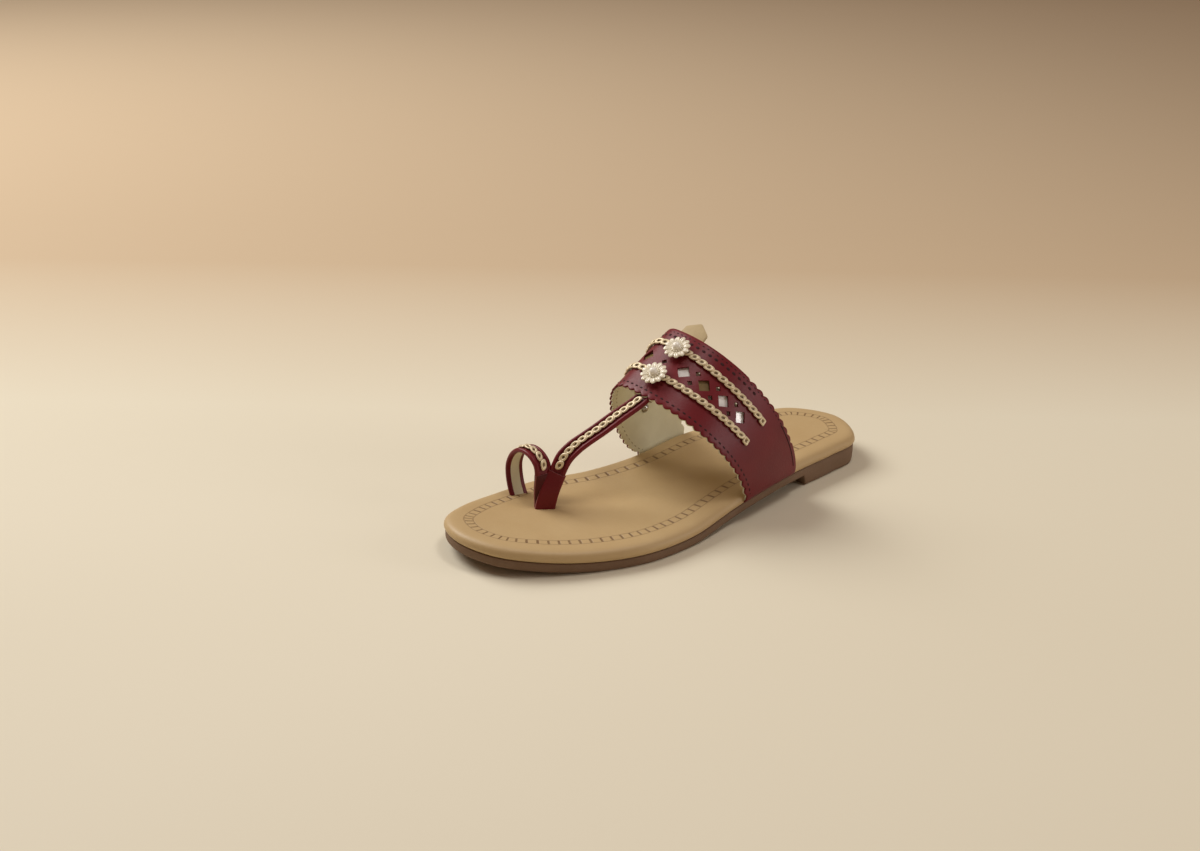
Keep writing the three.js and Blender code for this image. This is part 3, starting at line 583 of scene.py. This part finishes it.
def strap(table, steps=130, grow=0.0, end=None):
    """Points, faces and material slots (0 leather, 1 lining) of a strap, or of its solid tail up to a row."""
    centre, across, up, channel, width = strap_rows(table, steps)
    last = steps if end is None else round(end / (len(table) - 1) * steps)
    rings = []
    for i in range(last + 1):
        sunk = 0 if end is not None else channel[i]
        rings.append([centre[i] + across[i] * a + up[i] * h for a, h in strap_section(sunk, width[i], grow)])
    points, faces = lofted(rings)
    count = len(rings[0])
    # The lining is the five faces in the middle of the underside
    first = 2 * len(STRAP_TOP) + 3
    lined = range(first, first + 5)
    slots = [1 if end is None and j % count in lined else 0 for j in range(last * count)] + [0, 0]
    return points, faces, slots


# Braid, florets, pearls and rivets

def link(centre, along, across, up, length, width, height, square=0.85, skew=0.3, tilt=0.3, tube=0.34):
    """One open link of the braid, skewed, its rear end raised over the next."""
    turns, sides = 20, 8
    points = []
    for i in range(turns):
        a = 2 * math.pi * i / turns
        c, s = math.cos(a), math.sin(a)
        x = math.copysign(abs(c) ** square, c)
        y = math.copysign(abs(s) ** square, s)
        for j in range(sides):
            b = 2 * math.pi * j / sides
            r = 1 - tube + tube * math.cos(b)
            lift = height * (0.5 + 0.5 * math.sin(b)) + tilt * x
            forward = (x + skew * y) * r * length / 2
            points.append(centre + along * forward + across * y * r * width / 2 + up * lift)
    return points, grid_faces(turns, sides, close_columns=True, close_rows=True).tolist()


def braid(frames, spacing, width=CHAIN_WIDTH, plate=True):
    """The braid over a row of frames (centre, along, across, up): its links and the ribbon under them.

    plate makes the last link a squared one."""
    links = []
    for centre, along, across, up in frames[:-1] if plate else frames:
        links.append(link(centre + up * 0.42, along, across, up, spacing * 1.22, width,
                          CHAIN_HEIGHT - RIBBON_HEIGHT))
    if plate:
        centre, along, across, up = frames[-1]
        links.append(link(centre + along * 0.2 + up * 0.1, along, across, up, spacing * 0.95, width,
                          CHAIN_HEIGHT - 0.5, square=0.3, skew=0, tilt=0, tube=0.3))
    first, last = ((f[0] + f[1] * spacing * way, *f[1:]) for f, way in ((frames[0], -0.5), (frames[-1], 0.5)))
    half = width * 0.25
    ribbon = [[c + x * half, c + x * half + z * RIBBON_HEIGHT, c - x * half + z * RIBBON_HEIGHT, c - x * half]
              for c, _, x, z in [first, *frames, last]]
    return merged(links), lofted(ribbon)


def band_frames(u_of, start, end):
    """Frames for the braid over the band, one for each link, from one distance to another."""
    count = round(abs(end - start) / CHAIN_LINK)
    s = start + (np.arange(count) + 0.5) * (end - start) / count
    u = u_of(s)
    step = 0.5 * np.sign(end - start)
    centre = band_point(u, s, -SEAT_GAP)
    ahead, behind = (band_point(u_of(at), at, -SEAT_GAP) for at in (s + step, s - step))
    along = unit(ahead - behind)
    up = band_normal(u, s)
    return list(zip(centre, along, np.cross(up, along), up)), abs(end - start) / count


def strap_frames(table, from_row, to_row, steps=600):
    """Frames for the braid in a strap's channel, between two of the table's rows."""
    centre, across, up, _, _ = strap_rows(table, steps)
    first, last = (round(r / (len(table) - 1) * steps) for r in (from_row, to_row))
    run = np.r_[0, np.cumsum(np.linalg.norm(np.diff(centre[first:last + 1], axis=0), axis=1))]
    count = round(run[-1] / CHAIN_LINK)
    at = (np.arange(count) + 0.5) * run[-1] / count
    pick = first + np.searchsorted(run, at)
    along = unit(centre[pick + 1] - centre[pick - 1])
    base = centre[pick] + up[pick] * (CHANNEL_FLOOR + SEAT_GAP * 0.5)
    return list(zip(base, along, across[pick], up[pick])), run[-1] / count


def front_chain_u(s):
    """u of the front braid at a distance from the ridge."""
    return 0.32 + 1e-5 * (s - CENTRE_LINE) ** 2


def rear_chain_u(s):
    """u of the rear braid at a distance from the ridge."""
    return 0.712 + 0.046 * np.exp(-(((s - CENTRE_LINE) / 25) ** 2))


def axes_at(normal):
    """Two directions across a normal."""
    sideways = unit(np.array([1.0, 0, 0]) - normal * normal[0])
    return sideways, np.cross(normal, sideways)


def bead(centre, x_axis, y_axis, z_axis, size, turns=14, rings=9, groove=0.0):
    """An ellipsoid bead, with a groove along its x axis over its top."""
    points = []
    for i in range(1, rings):
        polar = math.pi * i / rings
        for j in range(turns):
            a = 2 * math.pi * j / turns
            x, y, z = math.sin(polar) * math.cos(a), math.sin(polar) * math.sin(a), math.cos(polar)
            if z > 0:
                z *= 1 - groove * math.exp(-((y / 0.25) ** 2))
            points.append(centre + x_axis * x * size[0] + y_axis * y * size[1] + z_axis * z * size[2])
    top = len(points)
    points.append(centre + z_axis * size[2] * (1 - groove))
    points.append(centre - z_axis * size[2])
    faces = grid_faces(rings - 1, turns, close_columns=True).tolist()
    last = (rings - 2) * turns
    for j in range(turns):
        k = (j + 1) % turns
        faces.append([top, k, j])
        faces.append([last + j, last + k, top + 1])
    return points, faces


def turned(centre, normal, profile, turns=32):
    """A round form turned about a normal, from rows of radius and height."""
    axes = axes_at(normal)
    return lofted([ring_at(centre + normal * height, *axes, radius, turns) for radius, height in profile])


def floret(seat, normal):
    """A daisy of grooved petals round a ring of small beads, on a flat base."""
    x_axis, y_axis = axes_at(normal)
    parts = [turned(seat, normal, [(5.4, 0), (5.7, 0.3), (5.4, 0.6), (2.5, 0.6)])]
    for i in range(PETALS):
        a = 2 * math.pi * (i + 0.3) / PETALS
        out = x_axis * math.cos(a) + y_axis * math.sin(a)
        lifted = unit(out + normal * 0.1)
        side = np.cross(normal, out)
        centre = seat + out * 4.75 + normal * (0.85 + 0.12 * (i % 2))
        parts.append(bead(centre, lifted, side, np.cross(lifted, side), (2.15, 1.42, 0.85), groove=0.45))
    for i in range(FLORET_BEADS):
        a = 2 * math.pi * i / FLORET_BEADS
        out = x_axis * math.cos(a) + y_axis * math.sin(a)
        side = np.cross(normal, out)
        parts.append(bead(seat + out * 2.75 + normal * 1.25, out, side, normal, (0.62, 0.62, 0.55), 10, 7))
    return merged(parts)


# Stitches

# How high a thread or line is for its width
FLATNESS = 0.8
# A stitch's form: share of its length, how deep it sinks and its thickness, both as shares of its radius
STITCH_FORM = [(0, 1.3, 0.5), (0.12, 0.35, 0.95), (0.5, 0.0, 1), (0.88, 0.35, 0.95), (1, 1.3, 0.5)]


def stitch(a, b, normal, radius):
    """A thread from one hole to the next, its ends sunk into the leather."""
    across = np.cross(normal, unit(b - a))
    return lofted([
        ring_at(a + (b - a) * place - normal * radius * (sink + 0.35), across, normal * FLATNESS,
                radius * scale, 6) for place, sink, scale in STITCH_FORM])


def u_at_inset(s, inset, rear):
    """u at an inset in mm from the band's front or rear edge."""
    share = inset / np.linalg.norm(band_point(1, s, 0) - band_point(0, s, 0))
    return 1 - share if rear else share


def band_stitches(inset, rear, depth, pitch, from_s, to_s, radius, fill=0.68, outward=True):
    """A row of stitches along one edge of the band: each shows for a share (fill) of the pitch."""
    parts = []
    for i in range(round((to_s - from_s) / pitch)):
        start = from_s + i * pitch
        end = start + pitch * fill
        u = u_at_inset(start, inset, rear)
        normal = band_normal(u, start) * (1 if outward else -1)
        a, b = band_point(u, start, depth), band_point(u_at_inset(end, inset, rear), end, depth)
        parts.append(stitch(a, b, normal, radius))
    return merged(parts)


def edge_line(inset, from_s, to_s, radius, steps=40):
    """A raised line along the band's rear edge, at an inset in mm from it."""
    rings = []
    for s in np.linspace(from_s, to_s, steps):
        u = u_at_inset(s, inset, True)
        normal = band_normal(u, s)
        across = unit(band_point(u + 0.01, s, 0) - band_point(u, s, 0))
        centre = band_point(u, s, 0) - normal * radius * 0.3
        rings.append(ring_at(centre, across, normal * FLATNESS, radius, 8))
    return lofted(rings)


# Materials

def srgb(red, green, blue):
    """A linear colour from screen values of 0 to 255."""
    return tuple((c / 255 / 12.92 if c <= 10 else ((c / 255 + 0.055) / 1.055) ** 2.4)
                 for c in (red, green, blue)) + (1.0,)


class Nodes:
    """A material's nodes, and short calls to add to them."""

    def __init__(self, name, **sockets):
        self.material = bpy.data.materials.new(name)
        self.material.use_nodes = True
        self.tree = self.material.node_tree
        self.shader = self.tree.nodes["Principled BSDF"]
        self.feed(self.shader, {key.replace("_", " "): value for key, value in sockets.items()})
        self.coordinates = self.add("TexCoord").outputs["Object"]

    def feed(self, node, inputs):
        """Gives each socket in inputs a number, a colour or another node's output. None leaves it alone."""
        for socket, value in inputs.items():
            if isinstance(value, (int, float, tuple)):
                node.inputs[socket].default_value = value
            elif value is not None:
                self.tree.links.new(value, node.inputs[socket])

    def add(self, kind, inputs=None, **settings):
        node = self.tree.nodes.new("ShaderNode" + kind)
        for key, value in settings.items():
            setattr(node, key, value)
        self.feed(node, inputs or {})
        return node

    def noise(self, size, detail=3.0, roughness=0.55):
        """Noise with features of a size in mm."""
        inputs = {"Scale": 1000 / size, "Detail": detail, "Roughness": roughness, "Vector": self.coordinates}
        return self.add("TexNoise", inputs).outputs["Fac"]

    def cells(self, size):
        """Cells of a size in mm: distance to the nearest point."""
        inputs = {"Scale": 1000 / size, "Vector": self.coordinates}
        return self.add("TexVoronoi", inputs).outputs["Distance"]

    def math(self, operation, a, b=None, clamp=False):
        return self.add("Math", {0: a, 1: b}, operation=operation, use_clamp=clamp).outputs[0]

    def ramp(self, value, stops):
        """A colour ramp: stops are (place, colour)."""
        node = self.add("ValToRGB", {"Fac": value})
        for element, (place, colour) in zip(node.color_ramp.elements, stops):
            element.position = place
            element.color = colour
        return node.outputs["Color"]

    def grey(self, value, low, high):
        """A value mapped from 0..1 to low..high."""
        return self.add("MapRange", {"Value": value, "To Min": low, "To Max": high}).outputs["Result"]

    def mix(self, share, a, b):
        """Two colours mixed: the sockets 0, 6, 7 and 2 are the node's own for colours."""
        return self.add("Mix", {0: share, 6: a, 7: b}, data_type="RGBA").outputs[2]

    def bump(self, height, strength, distance=0.0003, below=None):
        inputs = {"Strength": strength, "Distance": distance, "Height": height, "Normal": below}
        return self.add("Bump", inputs).outputs["Normal"]

    def out(self, colour, roughness=None, normal=None):
        self.feed(self.shader, {"Base Color": colour, "Roughness": roughness, "Normal": normal})
        return self.material

    def pattern(self):
        """The piece's own pattern coordinates, mm along and mm in from its edge."""
        split = self.add("SeparateXYZ", {0: self.add("UVMap", uv_map="Pattern").outputs["UV"]})
        return split.outputs["X"], split.outputs["Y"]

    def line(self, value, centre, half, soft):
        """1 within half a width of a centre, fading out over soft mm."""
        off = self.math("ABSOLUTE", self.math("SUBTRACT", value, centre))
        return self.math("SUBTRACT", 1.0, self.math("DIVIDE", self.math("SUBTRACT", off, half), soft), True)


def burgundy_leather(name, light, dark):
    n = Nodes(name, Specular_IOR_Level=0.26, Coat_Weight=0.04, Coat_Roughness=0.3)
    mottle = n.noise(3.2, 5, 0.65)
    colour = n.ramp(n.noise(26, 4), [(0.3, dark), (0.7, light)])
    colour = n.mix(n.grey(mottle, 0.0, 0.3), colour, srgb(86, 17, 25))
    normal = n.bump(n.noise(0.45, 3), 0.12, 0.00012, n.bump(n.cells(1.05), 0.16, 0.00022))
    return n.out(colour, n.grey(mottle, 0.32, 0.5), normal)


def lining_leather():
    n = Nodes("cream_lining", Roughness=0.7)
    colour = n.ramp(n.noise(14, 4), [(0.3, srgb(216, 213, 184)), (0.75, srgb(228, 226, 198))])
    colour = n.mix(n.grey(n.noise(1.1, 4), 0.0, 0.25), colour, srgb(194, 189, 158))
    return n.out(colour, None, n.bump(n.noise(0.7, 4), 0.25, 0.0002))


def footbed_leather():
    """Tan leather with a stamped ladder border, its bars across two thin rails."""
    n = Nodes("footbed_leather", Roughness=0.5, Coat_Weight=0.06, Coat_Roughness=0.45)
    along, inset = n.pattern()
    colour = n.ramp(n.noise(42, 3), [(0.3, srgb(186, 158, 112)), (0.72, srgb(195, 169, 124))])
    colour = n.mix(n.grey(n.noise(2.4, 5, 0.7), 0.0, 0.25), colour, srgb(174, 142, 96))
    place = n.math("FRACT", n.math("DIVIDE", along, BORDER_PITCH))
    middle = n.math("ABSOLUTE", n.math("SUBTRACT", place, 0.5))
    bars = n.math("MULTIPLY", n.line(n.math("MULTIPLY", middle, BORDER_PITCH), 0.0, 0.42, 0.35),
                  n.line(inset, BORDER_MIDDLE, BORDER_HALF_WIDTH, 0.5))
    rails = n.math("MAXIMUM", *(n.line(inset, rail, 0.14, 0.3) for rail in BORDER_RAILS))
    ladder = n.math("MAXIMUM", bars, n.math("MULTIPLY", rails, 0.5))
    worn = n.math("MULTIPLY", ladder, n.grey(n.noise(9, 3), 0.45, 1.05))
    colour = n.mix(worn, colour, srgb(104, 72, 38))
    grain = n.bump(n.cells(1.3), 0.12, 0.0002, n.bump(n.noise(0.6, 3), 0.12, 0.00015))
    normal = n.bump(n.math("SUBTRACT", 1.0, ladder), 0.7, 0.0004, grain)
    return n.out(colour, n.grey(n.noise(5, 4), 0.42, 0.6), normal)


def outsole_rubber():
    n = Nodes("outsole_rubber", Roughness=0.75)
    colour = n.ramp(n.noise(20, 4), [(0.3, srgb(118, 92, 68)), (0.75, srgb(132, 105, 82))])
    colour = n.mix(n.grey(n.noise(0.9, 3), 0.0, 0.35), colour, srgb(84, 62, 46))
    return n.out(colour, n.grey(n.noise(4, 3), 0.62, 0.85), n.bump(n.noise(0.5, 4), 0.3, 0.0002))


def two_tone(name, light, dark, spots, ripples, strength, distance, **sockets):
    """A surface between two colours, with a fine relief: spots and ripples are each a noise's settings."""
    n = Nodes(name, **sockets)
    return n.out(n.mix(n.noise(*spots), light, dark), None, n.bump(n.noise(*ripples), strength, distance))


def metal(name, colour, roughness):
    n = Nodes(name, Metallic=1.0, Roughness=roughness)
    tint = n.mix(n.grey(n.noise(3, 3), 0.0, 0.4), colour, srgb(170, 168, 158))
    return n.out(tint, n.grey(n.noise(1.5, 3), roughness * 0.7, roughness * 1.4))


def plain_leather(name, light, dark, roughness=0.6):
    n = Nodes(name, Roughness=roughness)
    colour = n.mix(n.noise(3.5, 5, 0.65), light, dark)
    return n.out(colour, None, n.bump(n.cells(0.9), 0.2, 0.0002))


GILT = dict(spots=(1.2, 4), ripples=(0.5, 3), strength=0.25, distance=0.0001, Metallic=0.2,
            Coat_Weight=0.15, Coat_Roughness=0.3)
PEARLY = dict(spots=(2.2, 4), ripples=(0.8, 2), strength=0.06, distance=0.0001, Roughness=0.24,
              Coat_Weight=0.5, Coat_Roughness=0.12, Sheen_Weight=0.2)
FOIL = dict(spots=(6, 1), ripples=(7, 1), strength=0.3, distance=0.001, Metallic=0.05, Roughness=0.2,
            Coat_Weight=0.8, Coat_Roughness=0.1)
LEATHER = burgundy_leather("burgundy_leather", srgb(122, 29, 37), srgb(104, 22, 30))
# A darker copy of the leather: painted shade for the toe loop's tail, which faces away behind the T-strap's
# tail
PAINTED_SHADE_LEATHER = burgundy_leather("burgundy_leather_painted_shade", srgb(84, 20, 26), srgb(66, 14, 20))
LINING = lining_leather()
TAN = footbed_leather()
RUBBER = outsole_rubber()
GOLD = two_tone("braid_gold", srgb(234, 220, 188), srgb(206, 186, 146), Roughness=0.4, **GILT)
DARK_GOLD = two_tone("braid_ground", srgb(134, 112, 74), srgb(96, 74, 44), Roughness=0.6, **GILT)
FLORET = two_tone("floret_beads", srgb(246, 241, 224), srgb(218, 206, 174), **PEARLY)
PEARL = two_tone("pearl", srgb(250, 247, 238), srgb(232, 224, 208), **PEARLY)
# The foil's white base on a nearly non-metal surface is a painted reflection: it stands for the bright light
# the mirror foil reflects
MIRROR = two_tone("mirror_foil", srgb(255, 255, 253), srgb(236, 236, 230), **FOIL)
MIRROR_SHADE = two_tone("mirror_foil_in_shade", srgb(150, 130, 88), srgb(122, 102, 64), **FOIL)
STEEL = metal("rivet_metal", srgb(186, 184, 180), 0.14)
# The thread is dark in its own colour and darker still as painted shade, for the shade in its stitch holes
THREAD = plain_leather("burgundy_thread_with_painted_shade", srgb(66, 11, 17), srgb(38, 5, 9), 0.85)
CREAM_THREAD = plain_leather("cream_thread", srgb(172, 162, 124), srgb(140, 130, 96), 0.8)
BEIGE = plain_leather("tab_leather", srgb(196, 176, 134), srgb(170, 148, 106))
# The cut edge is paler for its own cut colour and, as a painted highlight, for the light it catches
EDGE = plain_leather("cut_edge_and_highlight", srgb(150, 92, 88), srgb(120, 60, 60), 0.8)


# Pieces

def build_sole():
    points, faces, uvs = sole_layer(OUTSOLE_EDGE, OUTSOLE_INSET, outsole_bottom, deck_height)
    new_piece("fine_outsole", points, faces, [RUBBER], "outsole_rubber", ["outsole"], uvs, sharp=50)
    points, faces, uvs = sole_layer(FOOTBED_EDGE, 0, lambda y: deck_height(y) + SEAT_GAP,
                                    lambda y: deck_height(y) + SEAT_GAP + FOOTBED_THICKNESS)
    footbed = new_piece("fine_footbed", points, faces, [TAN], "footbed_leather", ["footbed"], uvs)


def build_band():
    shell = lofted(band_shell(0, LEATHER_WALL, 0, 0.45))
    cut_diamonds(new_piece("band_leather", *shell, [LEATHER], "upper_leather", ["upper"]))
    shell = lofted(band_shell(LEATHER_WALL + 0.02, BAND_WALL, 0.12, 0.2))
    cut_diamonds(new_piece("band_lining", *shell, [LINING], "upper_leather"), LINING_CLEARANCE)


def build_mirror():
    """The foil strip inside the band, with a plate of foil in each of the lining's big openings."""
    reach = DIAMOND_PITCH * DIAMONDS_EACH_SIDE + STRIP_MARGIN
    s = np.linspace(CENTRE_LINE + reach, CENTRE_LINE - reach, 120)
    top = BAND_WALL + SEAT_GAP
    profile = [(0.4, 0.55), (0.4, 0.15), (0.406, 0), *((u, 0) for u in np.linspace(0.43, 0.62, 7)),
               (0.644, 0), (0.65, 0.15), (0.65, 0.55), (0.62, 0.6), (0.525, 0.6), (0.43, 0.6)]
    rings = [[band_point(u, at, top + d) for u, d in profile] for at in s]
    points, faces = lofted(rings)
    count = len(profile)
    slots = [0 if 2 <= j % count <= 9 else 1 for j in range((len(s) - 1) * count)] + [1, 1]
    parts = [(points, faces)]
    for u, at, size in diamond_places():
        if size == BIG_DIAMOND:
            parts.append(diamond(u, at, size + PLATE_MARGIN, (-top - 0.1, -PLATE_DEPTH)))
            shaded = min(abs(at - place) for place in SHADED_MIRRORS) < 1
            slots += [2 if shaded else 0] * len(parts[-1][1])
    new_piece("mirror_strip", *merged(parts), [MIRROR, LINING, MIRROR_SHADE], "mirror_foil",
              ["mirror_underlay"], slots=slots)


def build_straps():
    """Each strap, and the solid tail that goes down into the footbed, a little proud and with a cut rim,
    paler partly as a painted highlight. The toe loop's tail has a darker leather as painted shade.
    """
    # The toe loop's tail takes the darker leather, a painted shade
    straps = (("t_strap", t_strap_table(), T_STRAP_SEAM, 0.5, LEATHER),
              ("toe_loop", TOE_LOOP, TOE_LOOP_SEAM, 0.12, PAINTED_SHADE_LEATHER))
    for name, table, seam, grow, leather in straps:
        points, faces, slots = strap(table)
        new_piece(name, points, faces, [LEATHER, LINING], "upper_leather", ["upper"], slots=slots)
        points, faces, slots = strap(table, grow=grow, end=seam)
        # The cut edge, paler partly as a painted highlight, shows along the first two faces of the section
        # and on the upper end
        rim = 2 * len(STRAP_TOP) + 2 * len(STRAP_UNDER)
        slots = [1 if j % rim < 2 else 0 for j in range(len(slots) - 2)] + [0, 1]
        new_piece(name + "_tail", points, faces, [leather, EDGE], "upper_leather", slots=slots)


def build_braids():
    for name, u_of in (("chain_front", front_chain_u), ("chain_rear", rear_chain_u)):
        parts = []
        for side in (1, -1):
            start, end = CENTRE_LINE + side * CHAIN_START, CENTRE_LINE + side * CHAIN_REACH
            parts.append(braid(*band_frames(u_of, start, end)))
        add_braid(name, parts)
    for name, table, rows in (("chain_tstrap", t_strap_table(), T_STRAP_BRAID),
                              ("chain_loop", TOE_LOOP, TOE_LOOP_BRAID)):
        add_braid(name, [braid(*strap_frames(table, *rows), STRAP_CHAIN_WIDTH, plate=False)])


def add_braid(name, parts):
    """One piece from the (links, ribbon) of each length of braid."""
    links, ground = (merged(kind) for kind in zip(*parts))
    slots = [0] * len(links[1]) + [1] * len(ground[1])
    new_piece("fine_" + name, *merged([links, ground]), [GOLD, DARK_GOLD], "braid", [name], slots=slots,
              sharp=60)


def build_ornaments():
    lift = SEAT_GAP + CHAIN_HEIGHT + SEAT_GAP
    for name, u_of in (("front", front_chain_u), ("rear", rear_chain_u)):
        u = u_of(CENTRE_LINE) - FLORET_FORWARD
        normal = band_normal(u, FLORET_LINE)
        seat = band_point(u, FLORET_LINE, -lift)
        new_piece("fine_floret_" + name, *floret(seat, normal), [FLORET], "floret_beads", ["floret_" + name],
                  sharp=60)
        foot = seat + normal * (FLORET_MIDDLE_HEIGHT + SEAT_GAP)
        cup = [(1.2, -0.6), (2.35, -0.5), (2.6, 0), (2.35, 0.42), (2.05, 0.5), (1.6, 0.2)]
        ring = turned(foot, normal, cup)
        ball = bead(foot + normal * 0.95, *axes_at(normal), normal, (2.1, 2.1, 1.85), 28, 16)
        slots = [0] * len(ring[1]) + [1] * len(ball[1])
        new_piece("fine_pearl_" + name, *merged([ring, ball]), [FLORET, PEARL], "pearl", ["pearl_" + name],
                  slots=slots)


def build_rivets():
    profile = [(2.3, 0), (2.4, 0.2), (2.2, 0.45), (1.9, 0.5), (1.85, 0.4), (1.75, 0.75), (1.45, 1.05),
               (0.95, 1.27), (0.4, 1.35), (0.1, 1.36)]
    for i, (u, s) in enumerate(RIVETS, 1):
        rivet = turned(band_point(u, s, BAND_WALL + SEAT_GAP), -band_normal(u, s), profile)
        new_piece(f"fine_rivet_{i}", *rivet, [STEEL], "rivet_metal", [f"rivet_{i}"], sharp=50)


def rounded_corners(corners, radius, steps=5):
    """A flat outline with each corner rounded off."""
    corners = np.asarray(corners, float)
    out = []
    for i, corner in enumerate(corners):
        before = corners[i - 1] - corner
        after = corners[(i + 1) % len(corners)] - corner
        a, b = corner + unit(before) * radius, corner + unit(after) * radius
        for k in range(steps + 1):
            w = k / steps
            out.append(a * (1 - w) ** 2 + corner * 2 * w * (1 - w) + b * w**2)
    return np.array(out)


def build_tab():
    outline = rounded_corners([(-8.4, -7), (-7.8, 5.4), (0, 10), (7.8, 5.4), (8.4, -7)], 1.1)
    middle = outline.mean(0)
    depth = BAND_WALL + SEAT_GAP

    def ring(shrink, d):
        points = []
        for across, out in middle + (outline - middle) * (1 - shrink / 8):
            edge = band_point(1, CENTRE_LINE + across, d)
            points.append(edge + unit(edge - band_point(0.9, CENTRE_LINE + across, d)) * out)
        return points

    thick = TAB_THICKNESS
    rows = [(0.5, depth), (0.12, depth + 0.12), (0, depth + 0.4), (0, depth + thick - 0.4),
            (0.12, depth + thick - 0.12), (0.5, depth + thick)]
    new_piece("fine_rear_tab", *lofted([ring(a, d) for a, d in rows]), [BEIGE], "tab_leather", ["rear_tab"])


def build_stitches():
    # Inset, rear edge, depth, pitch, from and to in mm past the ridge, radius, share of the pitch that shows
    rows = [
        band_stitches(3.5, False, 0, 3.3, -76, 94, 0.68, 0.8),
        band_stitches(2.2, True, 0, 2.8, -86, 82, 0.42, 0.75),
        band_stitches(4.6, True, 0, 3.7, -44, 56, 1.05, 0.86),
        edge_line(2.7, 78, 104, 0.42),
    ]
    new_piece("band_stitches", *merged(rows), [THREAD], "upper_leather", sharp=70)
    inside = band_stitches(3.6, False, BAND_WALL, 3.4, -76, 94, 0.3, outward=False)
    new_piece("lining_stitches", *inside, [CREAM_THREAD], "upper_leather", sharp=70)


# Floor, light and camera

FLOOR_REACH = 6.0
# Tones laid over the floor's own, along BACK, which points away from the camera's place: where each starts
# and over how many metres it comes in, and its colour
BACK = (-0.77, 0.63)
# The first tone is painted shade that darkens the floor behind the sandal; the second is painted light that
# brightens it farther off against the lamps' falloff
FLOOR_SHADE_AND_LIGHT = [(0.12, 0.28, srgb(200, 178, 147)), (0.5, 1.3, srgb(216, 196, 166))]
# Lights: name, power in W, size, place and target in metres, colour
LIGHTS = [
    ("key", 34, 1.2, (-1.35, -0.5, 1.4), (0, 0, 0.03), (1.0, 0.98, 0.95)),
    ("top", 2.6, 0.3, (0.2, 0.12, 1.1), (0, 0, 0.05), (1.0, 0.97, 0.95)),
    ("side", 2.2, 0.4, (0.85, 0.65, 0.35), (0, 0, 0.04), (1.0, 0.96, 0.96)),
]
WORLD_COLOUR, WORLD_STRENGTH = srgb(240, 204, 176), 0.24
# The camera: lens in mm, then its axes and place
LENS = 46.98
RIGHT = (0.628387, 0.777730, 0.016310)
UP = (-0.310672, 0.231683, 0.921849)
BACKWARDS = (0.713171, -0.584345, 0.387205)
CAMERA_PLACE = (0.533878, -0.484940, 0.343644)


def build_stage():
    mesh = bpy.data.meshes.new("floor")
    r = FLOOR_REACH
    mesh.from_pydata([(-r, -r, 0), (r, -r, 0), (r, r, 0), (-r, r, 0)], [], [(0, 1, 2, 3)])
    floor = new_object("floor", mesh)
    n = Nodes("floor_paper", Roughness=0.8)
    tone = n.ramp(n.noise(700, 2), [(0.3, srgb(221, 213, 190)), (0.7, srgb(227, 220, 199))])
    split = n.add("SeparateXYZ", {0: n.coordinates})
    back = n.math("ADD", *(n.math("MULTIPLY", split.outputs[i], BACK[i]) for i in (0, 1)))
    # Each tone, painted shade then painted light, comes in with distance along BACK
    for start, length, colour in FLOOR_SHADE_AND_LIGHT:
        share = n.math("DIVIDE", n.math("SUBTRACT", back, start), length, True)
        tone = n.mix(share, tone, colour)
    mesh.materials.append(n.out(tone, None, n.bump(n.noise(1.5, 3), 0.05, 0.0002)))


def add_light(name, energy, size, place, target, colour):
    data = bpy.data.lights.new(name, "AREA")
    data.energy = energy
    data.size = size
    data.color = colour
    z_axis = unit(np.subtract(place, target))
    x_axis = unit(np.cross((0, 0, 1), z_axis))
    new_object(name, data).matrix_world = place_matrix(x_axis, np.cross(z_axis, x_axis), z_axis, place)


def place_matrix(x_axis, y_axis, z_axis, place):
    columns = zip(x_axis, y_axis, z_axis, place)
    return Matrix([tuple(map(float, row)) for row in columns] + [(0, 0, 0, 1)])


def build_light():
    world = bpy.data.worlds.new("studio")
    world.use_nodes = True
    background = world.node_tree.nodes["Background"]
    background.inputs["Color"].default_value = WORLD_COLOUR
    background.inputs["Strength"].default_value = WORLD_STRENGTH
    bpy.context.scene.world = world
    for light in LIGHTS:
        add_light(*light)


def build_camera():
    data = bpy.data.cameras.new("camera")
    data.sensor_width = 36
    data.lens = LENS
    data.clip_start = 0.01
    camera = new_object("camera", data)
    camera.matrix_world = place_matrix(RIGHT, UP, BACKWARDS, CAMERA_PLACE)
    bpy.context.scene.camera = camera


build_sole()
build_band()
build_mirror()
build_straps()
build_braids()
build_ornaments()
build_rivets()
build_tab()
build_stitches()
build_stage()
build_light()
build_camera()
bpy.context.scene.view_settings.view_transform = "Standard"
